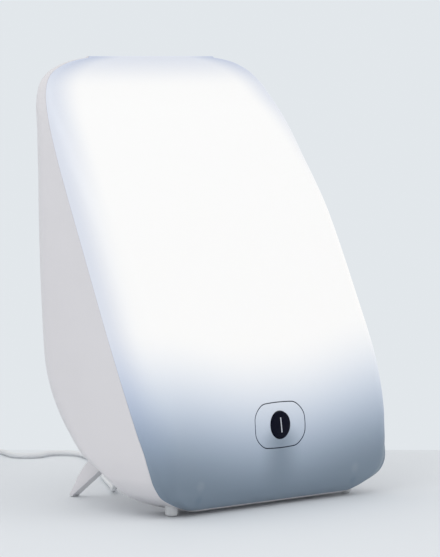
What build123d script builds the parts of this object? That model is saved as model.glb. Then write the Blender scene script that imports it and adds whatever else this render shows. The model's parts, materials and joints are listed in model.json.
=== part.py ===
from build123d import *
from math import asin, cos, degrees, hypot, pi, radians, sin, sqrt, tan
import os

os.makedirs("parts", exist_ok=True)

# Millimetres. +Z is up, the lit face looks along -Y, and +X is to the right of someone facing it.
# Depths are counted backwards from the foremost line of the lit face.
FRONT_Y = -106.0  # puts the middle of the whole depth on the origin
WALL = 2.5  # moulded shells
SKIN_GAP = 0.2  # between a shell and what lies along its inside
FACE_GAP = 0.3  # between neighbouring faces that only meet
RUN_GAP = 0.05  # radial play of a shaft in its bore

# ---- outer skin of the whole body: stations of (height, value), joined by smooth curves ----
SKIN_BASE, SKIN_TOP = 4.0, 460.0
HALF_WIDTH = [(4, 112), (7, 123), (13, 141.5), (24, 162.5), (40, 171.5), (62, 174), (300, 174), (350, 173),
              (385, 170), (405, 166.3), (428, 157.5), (440, 147), (452, 124), (456, 108), (460, 78)]
FRONT_DEPTH = [(4, 14), (7, 10), (13, 6), (24, 2.5), (40, 0.5), (60, 0), (80, 0.3), (100, 2.5), (125, 8),
               (150, 15.7), (175, 26), (200, 37.3), (250, 60), (300, 84.8), (325, 100), (350, 116.4),
               (370, 130), (395, 149), (415, 165.5), (428, 174), (440, 180.5), (450, 184), (460, 187)]
REAR_DEPTH = [(4, 60), (8, 64), (13, 68), (25, 76), (40, 95), (60, 130), (75, 147), (100, 166), (125, 179),
              (150, 186), (200, 190.5), (250, 193.4), (325, 195.6), (370, 197), (430, 199), (446, 198.5),
              (460, 195)]
FRONT_CORNER = [(4, 6), (16, 16), (45, 24), (80, 27), (350, 27), (385, 20), (412, 12), (440, 6), (460, 2.5)]
REAR_CORNER = [(4, 6), (25, 14), (45, 22), (80, 33), (330, 33), (385, 27), (412, 16), (440, 6), (460, 2.5)]
SKIN_LEVELS = [4, 6, 9, 13, 18, 24, 32, 40, 48, 56, 64, 72, 80, 90, 100, 112, 125, 150, 175, 200, 225, 250,
               275, 300, 325, 350, 370, 385, 398, 410, 420, 430, 438, 444, 449, 453, 456, 460]
# the parting line between the milky cover and the rear housing, as (depth, height)
SEAM = [(16, 5.4), (14.8, 8), (12.8, 12), (11, 18), (10, 28), (11.8, 40), (18, 61), (29.8, 84.6),
        (72.5, 178), (122.6, 297), (161, 385), (181, 428), (188.5, 446), (190, 470)]
SEAM_GAP = 0.6
LIP_REACH, LIP_WALL = 5.0, 1.9  # rim of the housing that the cover slips over
LIP_TOP = 434.0  # above this the body is too thin for a rim

# ---- leaning plane of the tubes ----
LEAN = radians(23.8)
TUBE_DEPTH, TUBE_FOOT = 45.0, 105.0  # where the tubes' centre plane starts
TUBE_X, TUBE_SPACING = 75.0, 21.0
TUBE_DIAMETER, TUBE_TIP = 17.5, 317.0
BASE_LENGTH, BASE_WIDTH, BASE_THICK = 36.0, 43.0, 22.0
PIN_DIAMETER, PIN_REACH = 2.4, 7.0
HOLDER_LENGTH, HOLDER_WIDTH = 26.0, 46.0
PIN_PITCH, PIN_SEAT = 6.0, 3.0
TRAY_BACK, TRAY_SHEET = 14.0, 1.0  # the tray's rear face behind the tubes' plane, its sheet
TRAY_LOW, TRAY_HIGH, TRAY_HALF = -46.0, 320.0, 150.0
TRAY_FLANGE = 16.0
CLIP_AT, CLIP_WIDTH, CLIP_SHEET = 255.0, 12.0, 1.0

# ---- behind the tray ----
BALLAST_LONG, BALLAST_WIDE, BALLAST_HIGH, BALLAST_LOW = 88.0, 60.0, 24.0, 66.0
BALLAST_TAB, BALLAST_SHEET = 10.0, 1.0
BLOCK_X, BLOCK_LONG, BLOCK_WIDE, BLOCK_HIGH, BLOCK_LOW = -30.0, 30.0, 14.0, 14.0, 20.0

# ---- screws, all of one kind ----
SCREW, SCREW_HEAD, SCREW_HEAD_HIGH, SCREW_LENGTH = 3.0, 5.6, 2.2, 8.0
SCREW_HOLE, SCREW_WELL, SCREW_BITE = 3.4, 6.4, 6.0

# ---- switch and button ----
BUTTON_Z, BUTTON_DIAMETER = 84.0, 28.0
BUTTON_PROUD, BUTTON_BACK = 1.0, 7.0
BUTTON_GAP = 0.5
MARK_LENGTH, MARK_WIDTH, MARK_DEPTH = 16.0, 1.3, 0.5
STEM_DIAMETER, COLLAR_DIAMETER, COLLAR_LENGTH = 8.0, 12.0, 2.5
SWITCH_FRONT, SWITCH_WALL, SWITCH_DEEP, SWITCH_SIDE = 17.0, 5.0, 22.0, 40.0
SWITCH_BORE = 14.0
BRACKET_SHEET, BRACKET_FOOT = 1.5, 12.0
RING_WIDTH, RING_HEIGHT, RING_CORNER, RING_BULGE = 74.0, 47.5, 15.0, 1.4
RING_LINE = 0.9  # open line between the switch panel and the cover
SPRING_WIRE, SPRING_DIAMETER, SPRING_TURNS = 1.0, 12.0, 4

# ---- two fold-out legs at the back, drawn open ----
BACK_DROP = radians(48.0)  # how far the lower back's outward normal points down
PIVOT_DEPTH, PIVOT_Z = 146.0, 57.0
LEG_X, LEG_THICK, LEG_HUB = 93.0, 10.0, 9.5
LEG_DROP = radians(35.4)  # below the horizontal when open
LEG_WIDTHS = [(0.0, 4.2), (12.0, 8.6), (20.0, 12.2), (34.0, 16.0), (55.0, 18.4)]  # (from the tip, width)
LEG_END = 212.6  # depth of the flat under the tip
HEEL_REACH, HEEL_WIDE = 12.2, 5.0  # the heel that stops the leg against the back
STAND_PIN, PIN_HEAD, PIN_HEAD_HIGH, LUG_THICK, LUG_GAP = 6.0, 8.6, 1.5, 5.0, 0.4
PAD_THICK = 1.6

# ---- feet, cord and gland ----
FOOT_X, FOOT_DEPTH, FOOT_DIAMETER, FOOT_TOP = 128.0, 28.6, 13.0, 12.0
SOCKET_FLOOR = 2.5
CORD = 5.8
CORD_Z = CORD / 2 + 0.2
GLAND_X, GLAND_Z = -58.0, 68.0
BOOT_LENGTH, BOOT_ROOT, BOOT_END, BOOT_NECK = 45.0, 11.0, 7.8, 9.0
BOOT_FLANGE, BOOT_RIBS = 17.0, 7
COIL_X, COIL_Y, COIL_RADIUS, COIL_WIDE, COIL_HIGH, COIL_LOW = 14.0, 425.0, 33.0, 12.0, 17.4, 1.4
TIE_SHEET, TIE_WIDE = 1.0, 9.0
PLUG_X, PLUG_LENGTH, PLUG_WIDE, PLUG_HIGH = -32.0, 38.0, 33.0, 13.7
PLUG_NECK, PLUG_PIN, PLUG_PIN_LENGTH, PLUG_PITCH = 20.0, 4.0, 19.0, 18.6


def at(depth):
    return FRONT_Y + depth


def curve(points):
    """A smooth curve through stations, without overshoot."""
    xs, ys = [p[0] for p in points], [p[1] for p in points]
    steps = [b - a for a, b in zip(xs, xs[1:])]
    slopes = [(b - a) / h for a, b, h in zip(ys, ys[1:], steps)]
    tangents = [slopes[0]] + [0.0] * (len(xs) - 2) + [slopes[-1]]
    for i in range(1, len(xs) - 1):
        if slopes[i - 1] * slopes[i] > 0:
            a, b = 2 * steps[i] + steps[i - 1], steps[i] + 2 * steps[i - 1]
            tangents[i] = (a + b) / (a / slopes[i - 1] + b / slopes[i])

    def value(x):
        i = 0
        while i < len(xs) - 2 and x > xs[i + 1]:
            i += 1
        h, t = steps[i], (x - xs[i]) / steps[i]
        return ((2 * t**3 - 3 * t**2 + 1) * ys[i] + (t**3 - 2 * t**2 + t) * h * tangents[i]
                + (3 * t**2 - 2 * t**3) * ys[i + 1] + (t**3 - t**2) * h * tangents[i + 1])

    return value


def inset(points, side, amount):
    """The curve moved squarely inwards; side is 1 where inwards is towards smaller values."""
    f = curve(points)
    low, high = points[0][0], points[-1][0]
    heights = sorted({p[0] for p in points} | {low + (high - low) * k / 90 for k in range(91)})
    moved = []
    for z in heights:
        a, b = max(z - 0.05, low), min(z + 0.05, high)
        slope = (f(b) - f(a)) / (b - a)
        length = hypot(1, slope)
        moved.append((z + side * slope / length * amount, f(z) - side * amount / length))
    moved.sort()
    kept = [moved[0]]
    for p in moved[1:]:
        if p[0] > kept[-1][0] + 0.4:
            kept.append(p)
    return kept


def skin_section(z, half, front, rear, front_corner, rear_corner):
    near, far, k = at(front), at(rear), 1 - sqrt(0.5)
    a, b = front_corner, rear_corner
    with BuildSketch(Plane.XY.offset(z)) as section:
        with BuildLine():
            Line((-half + a, near), (half - a, near))
            ThreePointArc((half - a, near), (half - k * a, near + k * a), (half, near + a))
            Line((half, near + a), (half, far - b))
            ThreePointArc((half, far - b), (half - k * b, far - k * b), (half - b, far))
            Line((half - b, far), (-half + b, far))
            ThreePointArc((-half + b, far), (-half + k * b, far - k * b), (-half, far - b))
            Line((-half, far - b), (-half, near + a))
            ThreePointArc((-half, near + a), (-half + k * a, near + k * a), (-half + a, near))
        make_face()
    return section.sketch.faces()[0]


def skin(amount):
    """The body's outer form, moved inwards by amount."""
    half, front, rear = HALF_WIDTH, FRONT_DEPTH, REAR_DEPTH
    if amount:
        half, front, rear = inset(half, 1, amount), inset(front, -1, amount), inset(rear, 1, amount)
    half, front, rear = curve(half), curve(front), curve(rear)
    front_corner, rear_corner = curve(FRONT_CORNER), curve(REAR_CORNER)
    share = 1 - 3.5 * amount / (SKIN_TOP - SKIN_BASE)
    faces = []
    for level in SKIN_LEVELS:
        z = SKIN_BASE + amount + (level - SKIN_BASE) * share
        a, b = max(front_corner(level) - amount, 0.8), max(rear_corner(level) - amount, 0.8)
        room = (rear(z) - front(z) - 0.8) / (a + b)
        faces.append(skin_section(z, half(z), front(z), rear(z), a * min(room, 1), b * min(room, 1)))
    with BuildPart() as body:
        loft(sections=faces, ruled=True)
    return body.part


def front_space(shift):
    """What lies before the parting line and above its lowest run; shift grows it backwards and down."""
    seam = [(at(d) + shift, z - shift) for d, z in SEAM]
    with BuildPart() as region:
        with BuildSketch(Plane.YZ.offset(-200)):
            with BuildLine():
                Polyline(seam[-1], (at(-60), seam[-1][1]), (at(-60), seam[0][1]), seam[0])
                Spline(*seam)
            make_face()
        extrude(amount=400)
    return region.part


def ring_outline(shrink):
    """The rounded outline round the button, with gently bowed sides."""
    a, b = RING_WIDTH / 2 - shrink, RING_HEIGHT / 2 - shrink
    w = RING_BULGE
    with BuildSketch(Plane(origin=(0, at(-10), BUTTON_Z), x_dir=(1, 0, 0), z_dir=(0, 1, 0))) as outline:
        with BuildLine():
            ThreePointArc((-a + w, b - w), (0, b), (a - w, b - w))
            ThreePointArc((a - w, b - w), (a, 0), (a - w, -b + w))
            ThreePointArc((a - w, -b + w), (0, -b), (-a + w, -b + w))
            ThreePointArc((-a + w, -b + w), (-a, 0), (-a + w, b - w))
        make_face()
        fillet(outline.vertices(), RING_CORNER - shrink)
    return outline.sketch


def ring_prism(shrink):
    with BuildPart() as prism:
        extrude(ring_outline(shrink), amount=24)
    return prism.part


def leaning(s=0.0, n=0.0, x=0.0):
    """A plane lying in the tubes' plane, s up along it and n in front of it."""
    y = at(TUBE_DEPTH) + s * sin(LEAN) - n * cos(LEAN)
    z = TUBE_FOOT + s * cos(LEAN) + n * sin(LEAN)
    return Plane(origin=(x, y, z), x_dir=(1, 0, 0), z_dir=(0, -cos(LEAN), sin(LEAN)))


def across(s, x=0.0):
    """A plane square to the tubes at s, looking up along them; its own second axis is n."""
    base = leaning(s, 0, x)
    return Plane(origin=base.origin, x_dir=(-1, 0, 0), z_dir=(0, sin(LEAN), cos(LEAN)))


def depth_axis(x, depth, z):
    """A plane whose normal points to the rear."""
    return Plane(origin=(x, at(depth), z), x_dir=(1, 0, 0), z_dir=(0, 1, 0))


def save(piece, name):
    piece.part.label = name
    export_step(piece.part, "parts/" + name + ".step")
    print(name, round(piece.part.volume))


SKIN = skin(0)
UNDERSKIN = skin(WALL - 1.0)  # ribs and bosses stop inside the wall, short of its outer face
INSIDE = skin(WALL)
LINER = skin(WALL + SKIN_GAP)
LINER_INSIDE = skin(WALL + SKIN_GAP + LIP_WALL)
TRAY_FRONT = -TRAY_BACK + TRAY_SHEET
REAR = curve(REAR_DEPTH)

# screws through the tray, as (x, s): those of the housing's posts, and the rest
POST_X = 140.0
POST_PLACES = [(-POST_X, 20.0), (POST_X, 20.0), (-POST_X, 250.0), (POST_X, 250.0)]
POST_DEEP, POST_WIDE = 12.0, 16.0
HOLDER_PLACES = [(x + side * 17, -HOLDER_LENGTH / 2) for x in (-TUBE_X, TUBE_X) for side in (-1, 1)]
CLIP_PLACES = [(-TUBE_X, CLIP_AT), (TUBE_X, CLIP_AT)]
BALLAST_PLACES = [(side * (BALLAST_LONG + BALLAST_TAB) / 2, BALLAST_LOW + BALLAST_WIDE / 2)
                  for side in (-1, 1)]
BLOCK_PLACE = (BLOCK_X, BLOCK_LOW + BLOCK_WIDE / 2)
BRACKET_LOW, BRACKET_HIGH = -34.0, -4.0
BRACKET_PLACES = [(side * (SWITCH_SIDE / 2 + BRACKET_SHEET + 6), -19.0) for side in (-1, 1)]
# bosses that join the cover to the housing, as (x, height, depth where boss and post meet)
BOSS_PLACES = [(-112.0, 27.0, 22.0), (112.0, 27.0, 22.0), (-100.0, 424.0, 185.0), (100.0, 424.0, 185.0)]
BOSS_DIAMETER = 9.0
LUG_STARTS = [side * LEG_X - LEG_THICK / 2 - LUG_GAP - LUG_THICK for side in (-1, 1)]
LUG_STARTS += [side * LEG_X + LEG_THICK / 2 + LUG_GAP for side in (-1, 1)]


def gland_plane(along):
    """A plane square to the cord where it leaves the housing; its normal points out and down."""
    y = at(REAR(GLAND_Z)) + along * cos(BACK_DROP)
    z = GLAND_Z - along * sin(BACK_DROP)
    return Plane(origin=(GLAND_X, y, z), x_dir=(1, 0, 0), z_dir=(0, cos(BACK_DROP), -sin(BACK_DROP)))


def screw_on(plane):
    """A pan-head screw with a hexagon socket; the head bears on the plane, against its normal."""
    with BuildPart() as screw:
        with BuildSketch(plane):
            Circle(SCREW_HEAD / 2)
        extrude(amount=SCREW_HEAD_HIGH)
        with BuildSketch(plane.offset(SCREW_HEAD_HIGH - 1.2)):
            RegularPolygon(1.3, 6)
        extrude(amount=1.2, mode=Mode.SUBTRACT)
        with BuildSketch(plane):
            Circle(SCREW / 2)
        extrude(amount=-SCREW_LENGTH)
    return screw.part


def make_front_cover():
    with BuildPart() as bosses:
        for x, z, meet in BOSS_PLACES:
            with BuildSketch(depth_axis(x, meet, z)):
                Circle(BOSS_DIAMETER / 2)
            extrude(amount=-60)
        add(UNDERSKIN, mode=Mode.INTERSECT)
    with BuildPart() as front_cover:
        add(SKIN)
        add(front_space(-SEAM_GAP / 2), mode=Mode.INTERSECT)
        add(INSIDE, mode=Mode.SUBTRACT)
        add(ring_prism(0), mode=Mode.SUBTRACT)
        add(bosses.part)
        for x, z, meet in BOSS_PLACES:
            with BuildSketch(depth_axis(x, meet, z)):
                Circle(SCREW / 2 + RUN_GAP)
            extrude(amount=-SCREW_BITE - 0.5, mode=Mode.SUBTRACT)
    save(front_cover, "front_cover")


def make_switch_panel():
    with BuildPart() as switch_panel:
        add(ring_prism(RING_LINE))
        add(SKIN, mode=Mode.INTERSECT)
        add(INSIDE, mode=Mode.SUBTRACT)
        with BuildSketch(depth_axis(0, -10, BUTTON_Z)):
            Circle(BUTTON_DIAMETER / 2 + BUTTON_GAP)
        extrude(amount=30, mode=Mode.SUBTRACT)
    save(switch_panel, "switch_panel")


def make_panel_frame():
    overlap = 4.0
    with BuildPart() as panel_frame:
        add(ring_prism(-overlap))
        add(LINER, mode=Mode.INTERSECT)
        add(LINER_INSIDE, mode=Mode.SUBTRACT)
        add(ring_prism(RING_LINE + overlap), mode=Mode.SUBTRACT)
    save(panel_frame, "panel_frame")


def make_rear_housing():
    behind = front_space(SEAM_GAP / 2)
    with BuildPart() as rim:
        add(UNDERSKIN)
        add(front_space(LIP_REACH), mode=Mode.INTERSECT)
        add(front_space(SEAM_GAP / 2 + 0.5), mode=Mode.SUBTRACT)
    with BuildPart() as lip:
        add(LINER)
        add(front_space(LIP_REACH - 1), mode=Mode.INTERSECT)
        add(front_space(-LIP_REACH), mode=Mode.SUBTRACT)
        add(rim.part)
        add(LINER_INSIDE, mode=Mode.SUBTRACT)
        with BuildSketch(Plane.XY.offset(LIP_TOP)):
            Rectangle(2 * SKIN_TOP, 2 * SKIN_TOP)
        extrude(amount=SKIN_TOP, mode=Mode.SUBTRACT)
        for x, z, meet in BOSS_PLACES:
            with BuildSketch(depth_axis(x, meet, z)):
                Circle(BOSS_DIAMETER / 2 + 0.4)
            extrude(amount=-60, mode=Mode.SUBTRACT)
    with BuildPart() as posts:
        for x, s in POST_PLACES:
            with BuildSketch(leaning(s, -TRAY_BACK, x + (22 if x > 0 else -22))):
                Rectangle(60, POST_WIDE)
            extrude(amount=-POST_DEEP)
        for x, z, meet in BOSS_PLACES:
            with BuildSketch(depth_axis(x, meet + FACE_GAP, z)):
                Circle(BOSS_DIAMETER / 2)
            extrude(amount=90)
        for x in (-FOOT_X, FOOT_X):
            with BuildSketch(Plane.XY):
                with Locations((x, at(FOOT_DEPTH))):
                    Circle(FOOT_DIAMETER / 2 + 2.2)
            extrude(amount=FOOT_TOP + SOCKET_FLOOR)
        add(UNDERSKIN, mode=Mode.INTERSECT)
    with BuildPart() as rear_housing:
        add(SKIN)
        add(behind, mode=Mode.SUBTRACT)
        add(INSIDE, mode=Mode.SUBTRACT)
        add(lip.part)
        add(posts.part)
        # lugs either side of each leg
        for start in LUG_STARTS:
            with BuildSketch(Plane.YZ.offset(start)):
                with BuildLine():
                    Polyline((at(119.5), 55.5), (at(143), 47.2), (at(150), 47.4), (at(155.8), 53.5),
                             (at(156.2), 64), (at(153.5), 84), (at(119.5), 55.5))
                make_face()
            extrude(amount=LUG_THICK)
        with BuildSketch(Plane.YZ.offset(-200)):
            with Locations((at(PIVOT_DEPTH), PIVOT_Z)):
                Circle(STAND_PIN / 2 + RUN_GAP)
        extrude(amount=400, mode=Mode.SUBTRACT)
        for x, s in POST_PLACES:
            with BuildSketch(leaning(s, -TRAY_BACK, x)):
                Circle(SCREW / 2 + RUN_GAP)
            extrude(amount=-SCREW_LENGTH, mode=Mode.SUBTRACT)
        # vent slots low, in the middle and high on the back
        for z, height in ((385, 44), (300, 44), (215, 30)):
            with BuildSketch(depth_axis(0, 170, z)):
                with GridLocations(16, 0, 9, 1):
                    SlotOverall(height, 4, rotation=90)
            extrude(amount=60, mode=Mode.SUBTRACT)
        # screw holes and wells, the cord's hole, and the sockets of the feet
        for x, z, meet in BOSS_PLACES:
            with BuildSketch(depth_axis(x, meet - 1, z)):
                Circle(SCREW_HOLE / 2)
            extrude(amount=10, mode=Mode.SUBTRACT)
            with BuildSketch(depth_axis(x, meet + SCREW_LENGTH - SCREW_BITE, z)):
                Circle(SCREW_WELL / 2)
            extrude(amount=160, mode=Mode.SUBTRACT)
        with BuildSketch(gland_plane(-20)):
            Circle(BOOT_NECK / 2 + 0.2)
        extrude(amount=40, mode=Mode.SUBTRACT)
        for x in (-FOOT_X, FOOT_X):
            with BuildSketch(Plane.XY.offset(-1)):
                with Locations((x, at(FOOT_DEPTH))):
                    Circle(FOOT_DIAMETER / 2 + 0.2)
            extrude(amount=FOOT_TOP + 1, mode=Mode.SUBTRACT)
    save(rear_housing, "rear_housing")


def make_reflector_tray():
    """Bent sheet: a flat back, two leaning flanges, and holes for everything screwed to it."""
    length, middle = TRAY_HIGH - TRAY_LOW, (TRAY_HIGH + TRAY_LOW) / 2
    low, high = -TRAY_BACK, TRAY_FRONT + TRAY_FLANGE
    with BuildPart() as reflector_tray:
        with BuildSketch(leaning(middle, low)):
            Rectangle(2 * TRAY_HALF, length)
        extrude(amount=TRAY_SHEET)
        for side in (-1, 1):
            x = side * TRAY_HALF
            with BuildSketch(across(TRAY_LOW)):
                with BuildLine():
                    Polyline((x - side, low), (x, low), (x + side * 5, high), (x + side * 4, high),
                             (x - side, low + TRAY_SHEET), (x - side, low))
                make_face()
            extrude(amount=length - 22)
        places = POST_PLACES + HOLDER_PLACES + CLIP_PLACES + BALLAST_PLACES + [BLOCK_PLACE] + BRACKET_PLACES
        for x, s in places:
            with BuildSketch(leaning(s, -TRAY_BACK - 1, x)):
                Circle(SCREW_HOLE / 2)
            extrude(amount=4, mode=Mode.SUBTRACT)
        # windows for the leads below each lamp holder
        for x in (-TUBE_X, TUBE_X):
            with BuildSketch(leaning(-HOLDER_LENGTH - 9, -TRAY_BACK - 1, x)):
                SlotOverall(16, 8)
            extrude(amount=4, mode=Mode.SUBTRACT)
    save(reflector_tray, "reflector_tray")


def make_tube(side_name, x):
    """One fluorescent tube: two limbs joined by a short bridge near the tip."""
    radius = TUBE_DIAMETER / 2
    with BuildPart() as tube:
        for side in (-1, 1):
            limb = across(BASE_LENGTH - 3, x)
            tip = across(TUBE_TIP - radius, x)
            with BuildSketch(limb):
                with Locations((side * TUBE_SPACING / 2, 0)):
                    Circle(radius)
            extrude(amount=TUBE_TIP - radius - BASE_LENGTH + 3)
            with Locations(tip.location):
                with Locations((side * TUBE_SPACING / 2, 0, 0)):
                    Sphere(radius)
        bridge = leaning(TUBE_TIP - 16, 0, x - TUBE_SPACING / 2)
        with BuildSketch(Plane(origin=bridge.origin, x_dir=(0, 1, 0), z_dir=(1, 0, 0))):
            Circle(4.5)
        extrude(amount=TUBE_SPACING)
    save(tube, side_name + "_tube")


def make_tube_base(side_name, x):
    with BuildPart() as base:
        with BuildSketch(across(0, x)):
            RectangleRounded(BASE_WIDTH, BASE_THICK, 5)
        extrude(amount=BASE_LENGTH)
        for side in (-1, 1):
            with BuildSketch(across(BASE_LENGTH - 3, x)):
                with Locations((side * TUBE_SPACING / 2, 0)):
                    Circle(TUBE_DIAMETER / 2)
            extrude(amount=3, mode=Mode.SUBTRACT)
        with BuildSketch(across(0, x)):
            with GridLocations(PIN_PITCH, 0, 4, 1):
                Circle(PIN_DIAMETER / 2)
        extrude(amount=PIN_SEAT, mode=Mode.SUBTRACT)
    save(base, side_name + "_tube_base")


def make_tube_pins(side_name, x):
    with BuildPart() as pins:
        with BuildSketch(across(-PIN_REACH, x)):
            with GridLocations(PIN_PITCH, 0, 4, 1):
                Circle(PIN_DIAMETER / 2)
        extrude(amount=PIN_REACH + PIN_SEAT)
    save(pins, side_name + "_tube_pins")


def make_lamp_holder(side_name, x):
    top = 11.0
    with BuildPart() as holder:
        with BuildSketch(across(-HOLDER_LENGTH, x)):
            with Locations((0, (top + TRAY_FRONT) / 2)):
                Rectangle(HOLDER_WIDTH, top - TRAY_FRONT)
        extrude(amount=HOLDER_LENGTH)
        with BuildSketch(across(0, x)):
            with GridLocations(PIN_PITCH, 0, 4, 1):
                Circle(PIN_DIAMETER / 2 + 0.1)
        extrude(amount=-PIN_REACH - 0.3, mode=Mode.SUBTRACT)
        # a relief over the lower half, where the leads are pushed in
        with BuildSketch(leaning(-HOLDER_LENGTH, top, x)):
            Rectangle(30, 20)
        extrude(amount=-8, mode=Mode.SUBTRACT)
        for place, s in HOLDER_PLACES:
            if abs(place - x) < HOLDER_WIDTH:
                with BuildSketch(leaning(s, TRAY_FRONT, place)):
                    Circle(SCREW / 2 + RUN_GAP)
                extrude(amount=SCREW_LENGTH, mode=Mode.SUBTRACT)
    save(holder, side_name + "_lamp_holder")


def make_tube_clip(side_name, x):
    """Spring steel: a strip on the tray with an open ring for each limb of the tube."""
    inner = TUBE_DIAMETER / 2 + FACE_GAP
    outer = inner + CLIP_SHEET
    with BuildPart() as clip:
        with BuildSketch(across(CLIP_AT - CLIP_WIDTH / 2, x)):
            with Locations((0, TRAY_FRONT + CLIP_SHEET / 2)):
                Rectangle(2 * TUBE_SPACING + 2, CLIP_SHEET)
            for side in (-1, 1):
                with Locations((side * TUBE_SPACING / 2, 0)):
                    Circle(outer)
                with Locations((side * TUBE_SPACING / 2, (TRAY_FRONT - outer) / 2 + 0.4)):
                    Rectangle(3, -TRAY_FRONT - outer + 0.8)
            for side in (-1, 1):
                with Locations((side * TUBE_SPACING / 2, 0)):
                    Circle(inner, mode=Mode.SUBTRACT)
                with Locations((side * TUBE_SPACING / 2, outer)):
                    Rectangle(13, 2 * outer - 9, mode=Mode.SUBTRACT)
        extrude(amount=CLIP_WIDTH)
        with BuildSketch(leaning(CLIP_AT, TRAY_FRONT - 1, x)):
            Circle(SCREW_HOLE / 2)
        extrude(amount=4, mode=Mode.SUBTRACT)
    save(clip, side_name + "_tube_clip")


def make_ballast():
    s = BALLAST_LOW + BALLAST_WIDE / 2
    with BuildPart() as ballast:
        with BuildSketch(leaning(s, -TRAY_BACK)):
            Rectangle(BALLAST_LONG, BALLAST_WIDE)
        extrude(amount=-BALLAST_HIGH)
        fillet(ballast.edges().filter_by(Axis.X), 1.5)
        with BuildSketch(leaning(s, -TRAY_BACK)):
            Rectangle(BALLAST_LONG + 2 * BALLAST_TAB, 14)
        extrude(amount=-BALLAST_SHEET)
        for x, place in BALLAST_PLACES:
            with BuildSketch(leaning(place, -TRAY_BACK + 1, x)):
                Circle(SCREW_HOLE / 2)
            extrude(amount=-4, mode=Mode.SUBTRACT)
    save(ballast, "ballast")


def make_terminal_block():
    x, s = BLOCK_PLACE
    with BuildPart() as terminal_block:
        with BuildSketch(leaning(s, -TRAY_BACK, x)):
            Rectangle(BLOCK_LONG, BLOCK_WIDE)
        extrude(amount=-BLOCK_HIGH)
        with BuildSketch(leaning(s, -TRAY_BACK - BLOCK_HIGH, x)):
            with Locations((-9.5, 0), (9.5, 0)):
                Circle(2.2)
        extrude(amount=5, mode=Mode.SUBTRACT)
        with BuildSketch(leaning(s, -TRAY_BACK, x)):
            Circle(SCREW / 2 + RUN_GAP)
        extrude(amount=-SCREW_LENGTH, mode=Mode.SUBTRACT)
    save(terminal_block, "terminal_block")


def make_switch_bracket():
    s, half = (BRACKET_LOW + BRACKET_HIGH) / 2, SWITCH_SIDE / 2
    with BuildPart() as switch_bracket:
        with BuildSketch(leaning(s, TRAY_FRONT)):
            Rectangle(2 * (half + BRACKET_SHEET + BRACKET_FOOT), BRACKET_HIGH - BRACKET_LOW)
        extrude(amount=BRACKET_SHEET)
        with BuildSketch(Plane.YZ.offset(-half - BRACKET_SHEET)):
            with BuildLine():
                low, high = leaning(BRACKET_LOW, TRAY_FRONT).origin, leaning(BRACKET_HIGH, TRAY_FRONT).origin
                Polyline((low.Y, low.Z), (at(SWITCH_FRONT + 5), low.Z), (at(SWITCH_FRONT + 5), high.Z),
                         (high.Y, high.Z), (low.Y, low.Z))
            make_face()
        extrude(amount=2 * (half + BRACKET_SHEET))
        with BuildSketch(Plane.YZ.offset(-half)):
            with BuildLine():
                low, high = leaning(BRACKET_LOW - 9, TRAY_FRONT + BRACKET_SHEET).origin, leaning(
                    BRACKET_HIGH + 9, TRAY_FRONT + BRACKET_SHEET).origin
                Polyline((low.Y, low.Z), (at(0), low.Z), (at(0), high.Z), (high.Y, high.Z), (low.Y, low.Z))
            make_face()
        extrude(amount=2 * half, mode=Mode.SUBTRACT)
        for x, place in BRACKET_PLACES:
            with BuildSketch(leaning(place, TRAY_FRONT - 1, x)):
                Circle(SCREW_HOLE / 2)
            extrude(amount=4, mode=Mode.SUBTRACT)
    save(switch_bracket, "switch_bracket")


def make_switch_body():
    with BuildPart() as switch_body:
        with BuildSketch(depth_axis(0, SWITCH_FRONT, BUTTON_Z)):
            Rectangle(SWITCH_SIDE, SWITCH_SIDE)
        extrude(amount=SWITCH_DEEP)
        with BuildSketch(depth_axis(0, SWITCH_FRONT, BUTTON_Z)):
            Circle(STEM_DIAMETER / 2 + RUN_GAP)
        extrude(amount=SWITCH_WALL, mode=Mode.SUBTRACT)
        with BuildSketch(depth_axis(0, SWITCH_FRONT + SWITCH_WALL, BUTTON_Z)):
            Circle(SWITCH_BORE / 2)
        extrude(amount=SWITCH_DEEP - SWITCH_WALL - 3, mode=Mode.SUBTRACT)
    save(switch_body, "switch_body")


def make_button():
    collar = SWITCH_FRONT + SWITCH_WALL
    with BuildPart() as button_cap:
        with BuildSketch(depth_axis(0, -BUTTON_PROUD, BUTTON_Z)):
            Circle(BUTTON_DIAMETER / 2)
        extrude(amount=BUTTON_PROUD + BUTTON_BACK)
        fillet(button_cap.edges().group_by(Axis.Y)[0], 1.2)
        with BuildSketch(depth_axis(0, BUTTON_BACK, BUTTON_Z)):
            Circle(STEM_DIAMETER / 2)
        extrude(amount=collar + COLLAR_LENGTH + 5 - BUTTON_BACK)
        with BuildSketch(depth_axis(0, collar, BUTTON_Z)):
            Circle(COLLAR_DIAMETER / 2)
        extrude(amount=COLLAR_LENGTH)
        with BuildSketch(depth_axis(0, -BUTTON_PROUD, BUTTON_Z)):
            SlotOverall(MARK_LENGTH, MARK_WIDTH, rotation=90)
        extrude(amount=MARK_DEPTH, mode=Mode.SUBTRACT)
    save(button_cap, "button_cap")
    with BuildPart() as button_mark:
        with BuildSketch(depth_axis(0, -BUTTON_PROUD, BUTTON_Z)):
            SlotOverall(MARK_LENGTH, MARK_WIDTH, rotation=90)
        extrude(amount=MARK_DEPTH)
    save(button_mark, "button_mark")
    length = SWITCH_FRONT - BUTTON_BACK - SPRING_WIRE
    radius = (SPRING_DIAMETER - SPRING_WIRE) / 2
    start = depth_axis(0, BUTTON_BACK + SPRING_WIRE / 2, BUTTON_Z)
    with BuildPart() as button_spring:
        with BuildLine() as wire:
            Helix(length / SPRING_TURNS, length, radius, center=start.origin, direction=(0, 1, 0))
        with BuildSketch(Plane(origin=wire.line @ 0, z_dir=wire.line % 0)):
            Circle(SPRING_WIRE / 2)
        sweep(is_frenet=True)
    save(button_spring, "button_spring")


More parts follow.
